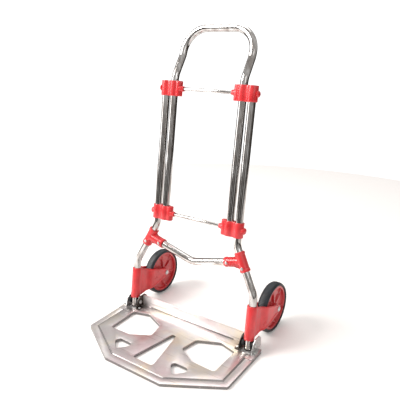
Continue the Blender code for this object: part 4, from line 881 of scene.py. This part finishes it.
def makeFork(word):
    side = sides[word]
    x = side * stance["legX"]
    outer = tubes["radius"] + fork["wall"]
    low, high = fork["bottom"], fork["top"]
    profile = [(0, 0), (0, outer - 0.0010), (0.0004, outer - 0.0003), (0.0012, outer)]
    profile += [(high - low - 0.0012, outer), (high - low - 0.0004, outer - 0.0003), (high - low, outer - 0.0010)]
    profile += [(high - low, 0)]
    sleeve = solid(lathe((x, 0, low), (0, 0, 1), profile, 48))
    half = outer - 0.0033
    spine = [(-half, 0.0), (half, 0.0), (half, 0.019), (half - 0.002, 0.021), (-half + 0.002, 0.021), (-half, 0.019)]
    block = solid(roundedBlock(spine, low + 0.006, high - 0.008, 0.001, lambda a, b, c: (x + a, b, c)))
    back = outer + 0.0015
    lug = solid(roundedRod((x, back, high - 0.010), (x, back, high), fork["lug"], 0.0008, 28))
    cheeks = [solid(makeCheek(side, sign)) for sign in (1, -1)]
    teeth = []
    for k in range(-1, 7):
        turn = 2 * pi * (k + 0.5) / 20
        out, flank = Vector((cos(turn), -sin(turn))), Vector((sin(turn), cos(turn)))
        corners = [out * 0.0103 - flank * 0.0006, out * outer - flank * 0.0006, out * outer + flank * 0.0006,
                   out * 0.0103 + flank * 0.0006]
        teeth.append(solid(prism([tuple(c) for c in corners], low - 0.0021 + 0.0003, low + 0.0012,
                                    lambda a, b, c: (side * (stance["legX"] + a), b, c))))
    carve(sleeve, [block, lug] + cheeks + teeth, "UNION")
    through = bore((x, 0, low - 0.005), (x, 0, high + 0.005), tubes["radius"])
    reach = fork["cheekGap"] + fork["cheek"] + 0.004
    axleHole = bore((x - reach, wheel["reach"], wheel["up"]), (x + reach, wheel["reach"], wheel["up"]),
                    wheel["axle"], 28)
    carve(sleeve, [through, axleHole], "DIFFERENCE")
    finishMesh("forkMoulding_" + word, release(sleeve), red, "fork_" + word, ["wheel_fork_" + word],
               smoothAngle=34)
    for sign, face in ((side, "outer"), (-side, "inner")):
        mark = sign * side
        columns = [0.014 + (wheel["reach"] - 0.014) * k / 24 for k in range(25)]
        lower = [(b, cheekEdges(b)[0] + 0.0027) for b in columns]
        upper = [(b, cheekEdges(b)[1] - 0.0027) for b in columns]
        rear = [(wheel["reach"] - 0.010 - 0.026 * k / 12, wheel["up"] - 0.0065 - 0.0125 * k / 12) for k in range(13)]
        for kind, spots, width in (("lowerRib_", lower, 0.0040), ("upperRib_", upper[:21], 0.0030),
                                   ("slantRib_", rear, 0.0030)):
            finishMesh(kind + face + "_" + word, cheekBand(side, mark, spots, width), red, "fork_" + word, [])


for word in sides:
    makeFork(word)
print("forks made")


# rivets, screws, pins and caps: each is a lathe about (start, direction), in frame or floor coordinates
def domeProfile(shank, shankRadius, head, height, dimple=0.0):
    profile = [(0, 0), (0, shankRadius), (shank, shankRadius), (shank, head - 0.0003), (shank + 0.0002, head)]
    for k in range(1, 7):
        turn = pi / 2 * k / 7
        profile.append((shank + height * sin(turn), head * cos(turn) ** 0.8))
    profile.append((shank + height - dimple, head * 0.18) if dimple else (shank + height, head * 0.12))
    profile.append((shank + height - dimple, 0))
    return profile


def pinProfile(face, radius, head, height):
    half = [(face, radius), (face, head - 0.0002), (face + 0.0003, head), (face + height * 0.35, head * 0.95)]
    half += [(face + height * 0.65, head * 0.80), (face + height * 0.88, head * 0.55)]
    half += [(face + height, head * 0.28), (face + height - 0.0003, head * 0.16), (face + height - 0.0004, 0)]
    return [(-a, r) for a, r in reversed(half)] + half


fasteners = {"frameRivet": (0.0022, 0.0078, 0.0052), "handleRivet": (0.0020, 0.0042, 0.0018),
             "screw": (0.0018, 0.0036, 0.0016), "axlePin": (0.0040, 0.0065, 0.0030),
             "hingePin": (0.0030, 0.0052, 0.0022), "cap": 0.0078}


def makeFasteners(word):
    side = sides[word]
    gap, radius, lobe = stance["gap"], tubes["radius"], clamp["lobe"]
    inside = radius - tubes["wall"]
    grip = lobe - radius + tubes["wall"] + gap

    def turned(name, mat, body, node, start, direction, profile, segments, place=leanBack):
        finishMesh(name + word, lathe(start, direction, profile, segments), mat, body, [node + word], place)

    turned("rivetCover_", red, "frame", "frame_rivet_", (side * (tubes["uprightX"] + inside), 0, clamp["upper"]),
           (side, 0, 0), domeProfile(grip, *fasteners["frameRivet"]), 36)
    turned("handleRivetHead_", zinc, "handle", "handle_rivet_", (side * tubes["handleX"], inside, clamp["lower"]),
           (0, 1, 0), domeProfile(grip, *fasteners["handleRivet"], 0.0003), 32)
    depth = radius + 0.0006
    for node, (x, s) in zip(("arm_screw_", "sleeve_screw_"), teeScrewSpots(side)):
        turned(node.replace("_s", "S") + "head_", zinc, "frame", node, (x, -depth, s), (0, -1, 0),
               domeProfile(radius + tee["wall"] + gap - depth, *fasteners["screw"], 0.0008), 32)
    turned("axleHeads_", zinc, "fork_" + word, "axle_pin_", wheelCentre(side), (1, 0, 0),
           pinProfile(fork["cheekGap"] + fork["cheek"] + gap, *fasteners["axlePin"]), 40)
    turned("hingePinHeads_", zinc, "toe_plate_assembly", "hinge_pin_", (side * stance["legX"], 0, 0), (1, 0, 0),
           pinProfile(0.0188, *fasteners["hingePin"]), 36, hingePlace)
    brim, cap = 0.0015, fasteners["cap"]
    seat = side * (tubes["uprightX"] + lobe + clamp["housingHeight"] - 0.0012)
    profile = [(0, 0), (0, 0.0050), (brim, 0.0050), (brim, cap - 0.0003), (brim + 0.0003, cap)]
    profile += [(brim + 0.0012, cap * 0.97), (brim + 0.0022, cap * 0.88), (brim + 0.0031, cap * 0.72)]
    profile += [(brim + 0.0038, cap * 0.5), (brim + 0.0042, cap * 0.26), (brim + 0.0043, 0)]
    turned("padCap_", red, "handle", "pad_cap_", (seat, 0, clamp["lower"]), (side, 0, 0), profile, 40)


for word in sides:
    makeFasteners(word)
print("fasteners made")


# toe plate
plate = {"halfWidth": 0.205, "chamferY": -0.140, "frontY": -0.213, "frontHalf": 0.080, "rearY": 0.0125,
         "top": 0.0090, "sheet": 0.0016, "step": 0.0016, "border": 0.019, "rimBottom": 0.0008, "lipTop": 0.040,
         "lipHalf": 0.1572, "hem": 0.0017, "seatFrontY": -0.036, "notchFrontY": -0.019, "notchHalf": 0.013,
         "corner": 0.006, "collar": 0.0013, "collarBottom": 0.0018, "groove": 0.0014, "grooveDepth": 0.0006,
         "fillet": 0.0022, "footHalf": 0.1290, "seatNear": 0.147, "even": 0.0017, "mouth": 0.0009,
         "rear": [(0.155, -0.116), (0.156, -0.029), (0.112, -0.017), (0.056, -0.042), (0.047, -0.088),
                  (0.094, -0.114)],
         "front": [(0.107, -0.150), (0.100, -0.139), (0.064, -0.140), (0.062, -0.150), (0.084, -0.176)],
         "middle": [(0.0, -0.030), (-0.030, -0.176), (0.030, -0.176)]}


def roundCorners(points, radius, steps=5):
    result = []
    for i, point in enumerate(points):
        here = Vector(point)
        before, after = Vector(points[i - 1]) - here, Vector(points[(i + 1) % len(points)]) - here
        half = before.angle(after) / 2
        reach = min(radius / tan(half), before.length * 0.45, after.length * 0.45)
        real = reach * tan(half)
        first, last = here + before.normalized() * reach, here + after.normalized() * reach
        middle = here + (before.normalized() + after.normalized()).normalized() * (real / sin(half))
        for k in range(steps + 1):
            ray = (first.lerp(last, k / steps) - middle).normalized() * real
            result.append(tuple(middle + ray))
    return result


def plateOutline(inset, rearInset=0.0):
    wide = plate["halfWidth"] - inset
    slope = atan2(plate["chamferY"] - plate["frontY"], plate["halfWidth"] - plate["frontHalf"])
    front = plate["frontY"] + inset
    frontHalf = plate["frontHalf"] - inset * (1 - cos(slope)) / sin(slope)
    chamfer = plate["chamferY"] + inset * (1 - sin(slope)) / cos(slope)
    rear = plate["rearY"] - rearInset
    return [(-frontHalf, front), (frontHalf, front), (wide, chamfer), (wide, rear), (-wide, rear), (-wide, chamfer)]


def openingShapes():
    shapes = []
    for side in (-1, 1):
        shapes.append([(side * x, y) for x, y in plate["rear"]])
        shapes.append([(side * x, y) for x, y in plate["front"]])
    shapes.append(plate["middle"])
    return [roundCorners(shape, plate["corner"]) for shape in shapes]


def slab(near, far, front, rear, low, high):
    corners = [(near, front), (far, front), (far, rear), (near, rear)]
    return solid(prism(corners, low, high, flat))


def makePlate():
    borderTop = plate["top"] - plate["step"]
    under = borderTop - plate["sheet"]
    outer = roundCorners(plateOutline(0), 0.005, 4)
    sheet = solid(prism(outer, plate["rimBottom"], borderTop, flat))
    inside = plateOutline(plate["sheet"], -0.01)
    carve(sheet, [solid(prism(inside, plate["rimBottom"] - 0.002, under, flat))], "DIFFERENCE")
    # the middle rises from the border on a short slope
    low, high = plateOutline(plate["border"] - 0.0012, 0.0002), plateOutline(plate["border"] + 0.0012, 0.0002)
    low, high = roundCorners(low, 0.004, 4), roundCorners(high, 0.004, 4)
    middle = solid(stackLoops([[(x, y, under + 0.0004) for x, y in low], [(x, y, borderTop - 0.0001) for x, y in low],
                               [(x, y, plate["top"]) for x, y in high]]))
    seats = []
    for side in (-1, 1):
        seats.append(slab(side * plate["seatNear"], side * (plate["halfWidth"] - 0.0010), plate["seatFrontY"],
                          plate["rearY"] - 0.0004, under + 0.0005, plate["top"] - 0.00005))
    carve(sheet, [middle] + seats, "UNION")
    collars = []
    for shape in openingShapes():
        wide = insetLoop(evenLoop(shape, plate["even"], 1), -plate["collar"])
        collars.append(solid(prism(wide, plate["collarBottom"], plate["top"] - 0.0009, flat)))
    carve(sheet, collars, "UNION")
    groove = plate["border"] - 0.0012
    wide, narrow = plateOutline(groove - plate["groove"], -0.02), plateOutline(groove, -0.03)
    ring = solid(prism(wide, borderTop - plate["grooveDepth"], borderTop + 0.00005, flat))
    carve(ring, [solid(prism(narrow, borderTop - 0.002, borderTop + 0.002, flat))], "DIFFERENCE")
    cutters = [ring]
    for shape in openingShapes():
        # the mouth of each opening is rolled down a little
        even = evenLoop(shape, plate["even"], 1)
        mouth = insetLoop(even, -plate["mouth"])
        cutters.append(solid(stackLoops([[(x, y, -0.002) for x, y in even],
                                         [(x, y, plate["top"] - 0.0010) for x, y in even],
                                         [(x, y, plate["top"] + 0.0004) for x, y in mouth]])))
    for side in (-1, 1):
        near, far = (side * (stance["legX"] + reach) for reach in (-plate["notchHalf"], plate["notchHalf"]))
        cutters.append(slab(near, far, plate["notchFrontY"], plate["rearY"] + 0.01, -0.002, plate["top"] + 0.004))
    carve(sheet, cutters, "DIFFERENCE")
    softenEdges(sheet, 0.0004, 2, 40)
    piece = finishMesh("plateSheet", release(sheet), plateMetal, "toe_plate_assembly", ["toe_plate"], plainPlace, 34)
    piece.data.materials.append(shadedWallMetal)
    # upright walls, the slope of the step and faces under the border take the darker copy: painted shade
    for face in piece.data.polygons:
        upright = abs(face.normal.z) < 0.35
        slope = 0.6 < face.normal.z < 0.93 and face.center.z > borderTop + 0.0002
        sunk = face.center.z < borderTop - 0.0002
        if upright or slope or sunk:
            face.material_index = 1
    half = plate["lipHalf"]
    shape = roundCorners([(-half, under), (half, under), (half, plate["lipTop"]), (-half, plate["lipTop"])], 0.006, 6)
    lip = prism(shape, plate["rearY"] - plate["sheet"], plate["rearY"], standing)
    # the bend at the foot of the lip
    front, turn = plate["rearY"] - plate["sheet"], plate["fillet"]
    bend = [(front + 0.0004, under + 0.0004), (front + 0.0004, plate["top"] + turn)]
    bend += [(front - turn + turn * cos(pi / 12 * k), plate["top"] + turn - turn * sin(pi / 12 * k))
             for k in range(7)]
    bend += [(front - turn, under + 0.0004)]
    footHalf = plate["footHalf"]
    foot = solid(prism(bend, -footHalf, footHalf, lambda a, b, c: (c, a, b)))
    lipPiece = softenEdges(carve(solid(lip), [foot], "UNION"), 0.0003, 2, 50)
    # the lip takes the paler copy of the plate finish, painted light
    piece = finishMesh("plateLip", release(lipPiece), litLipMetal, "toe_plate_assembly", [], plainPlace)
    piece.data.materials.append(shadedWallMetal)
    # the bend at the lip's foot takes the darker copy: painted shade
    for face in piece.data.polygons:
        if face.center.z < plate["top"] + turn * 0.98:
            face.material_index = 1
    y, z = plate["rearY"] - plate["sheet"] / 2 + 0.0004, plate["lipTop"] - 0.0014
    reach = half - 0.006
    bm = roundedRod((-reach, y, z), (reach, y, z), plate["hem"], 0.0012, 20)
    finishMesh("lipHem", bm, plateMetal, "toe_plate_assembly", [], plainPlace)


makePlate()
print("toe plate made")

# carried-over nodes keep their shape and get a finish
# the inner ears take the near-black steel, which is painted shade
keptFinishes = {"outer_ear_": zinc, "inner_ear_": earShadeSteel, "fold_gear_": blackPlastic,
                "hinge_spacer_": blackPlastic, "foot_plug_": blackPlastic, "sleeve_ring_": zinc,
                "friction_pad_": nylon, "pad_spring_": zinc, "outer_washer_": nylon, "inner_washer_": nylon,
                "outer_ear_rivet_": zinc, "inner_ear_rivet_": zinc}
for start, mat in keptFinishes.items():
    for word in sides:
        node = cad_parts[start + word]
        node.data.materials.clear()
        node.data.materials.append(mat)
        if start in ("outer_ear_", "inner_ear_"):
            softenEdges(node, 0.0004, 2, 40)
print("carried-over nodes finished")

# floor, light and camera
studio = {"floor": (0.95, 0.915, 0.895), "floorRadius": 1.7, "key": (-1.5, -1.2, 1.9), "keySize": 1.0,
          "keyPower": 62, "fill": (1.7, -0.9, 1.4), "fillSize": 1.0, "fillPower": 4, "top": (-0.5, 0.7, 2.3),
          "topSize": 1.5, "topPower": 16, "side": (-1.7, -1.0, 0.75), "sideSize": 0.9, "sidePower": 9,
          "room": 0.52, "horizonLow": -0.03, "horizonHigh": 0.17, "highShare": 0.78,
          "darkRoom": (0.07, 0.058, 0.05), "midRoom": (0.30, 0.27, 0.25), "paleRoom": (1.0, 0.99, 0.98),
          "skyRoom": (1.30, 1.27, 1.24),
          "bandScale": 2.0, "bandStretch": 0.12, "floorGlow": 0.07, "backdrop": (2.4, 2.4, 2.4)}


def softLight(name, spot, size, power, colour):
    data = bpy.data.lights.new(name, "AREA")
    data.size = size
    data.energy = power
    data.color = colour
    light = addObject(name, data)
    light.location = spot
    light.rotation_euler = (Vector((0, 0, 0.25)) - Vector(spot)).to_track_quat("-Z", "Y").to_euler()


def makeStudio():
    bm = bmesh.new()
    bmesh.ops.create_circle(bm, cap_ends=True, segments=96, radius=studio["floorRadius"])
    mesh = bpy.data.meshes.new("floor")
    bm.to_mesh(mesh)
    bm.free()
    floor = addObject("floor", mesh)
    mat, tree, shader, noise, bump = newFinish("paleFloor", studio["floor"], 0.0, 0.55)
    tree.links.new(spread(tree, noise(3, 2), 0.5, 0.6), shader.inputs["Roughness"])
    setInputs(shader, {"Emission Color": (1, 1, 1, 1), "Emission Strength": studio["floorGlow"]})
    mesh.materials.append(mat)
    for word, colour in (("key", (1.0, 0.985, 0.96)), ("fill", (0.96, 0.98, 1.0)),
                         ("top", (1, 1, 1)), ("side", (1, 1, 1))):
        softLight(word + "Light", studio[word], studio[word + "Size"], studio[word + "Power"], colour)
    world = bpy.data.worlds.new("softRoom")
    bpy.context.scene.world = world
    world.use_nodes = True
    tree = world.node_tree
    coords = tree.nodes.new("ShaderNodeTexCoord")
    outward = {"Vector": coords.outputs["Generated"]}
    mapping = addNode(tree, "Mapping", {"Scale": (1, 1, studio["bandStretch"])}, outward)
    bands = addNode(tree, "TexNoise", {"Scale": studio["bandScale"], "Detail": 3},
                    {"Vector": mapping.outputs["Vector"]})
    low = rampNode(tree, bands.outputs["Fac"], [(0.45, studio["darkRoom"]), (0.50, studio["midRoom"]),
                                               (0.53, studio["paleRoom"])])
    parts = addNode(tree, "SeparateXYZ", {}, outward)
    limits = {"From Min": studio["horizonLow"], "From Max": studio["horizonHigh"], "To Max": studio["highShare"]}
    height = addNode(tree, "MapRange", limits, {"Value": parts.outputs["Z"]})
    room = mixColours(tree, height.outputs["Result"], low, studio["skyRoom"])
    rays = tree.nodes.new("ShaderNodeLightPath")
    seen = mixColours(tree, rays.outputs["Is Camera Ray"], room, studio["backdrop"])
    background = tree.nodes["Background"]
    tree.links.new(seen, background.inputs["Color"])
    background.inputs["Strength"].default_value = studio["room"]
    bpy.context.scene.view_settings.view_transform = "Standard"


shot = {"place": (0.6411, -0.8519, 0.7079), "yaw": 34.68, "down": 18.66, "roll": -0.25, "lens": 44.11}


def makeCamera():
    data = bpy.data.cameras.new("camera")
    data.lens = shot["lens"]
    data.sensor_width = 36
    camera = addObject("camera", data)
    yaw, down = radians(shot["yaw"]), radians(shot["down"])
    forward = Vector((-sin(yaw) * cos(down), cos(yaw) * cos(down), -sin(down)))
    turn = forward.to_track_quat("-Z", "Y").to_matrix().to_4x4()
    camera.matrix_world = Matrix.Translation(shot["place"]) @ turn @ Matrix.Rotation(radians(shot["roll"]), 4, "Z")
    bpy.context.scene.camera = camera


makeStudio()
makeCamera()
print("floor, lights and camera set")
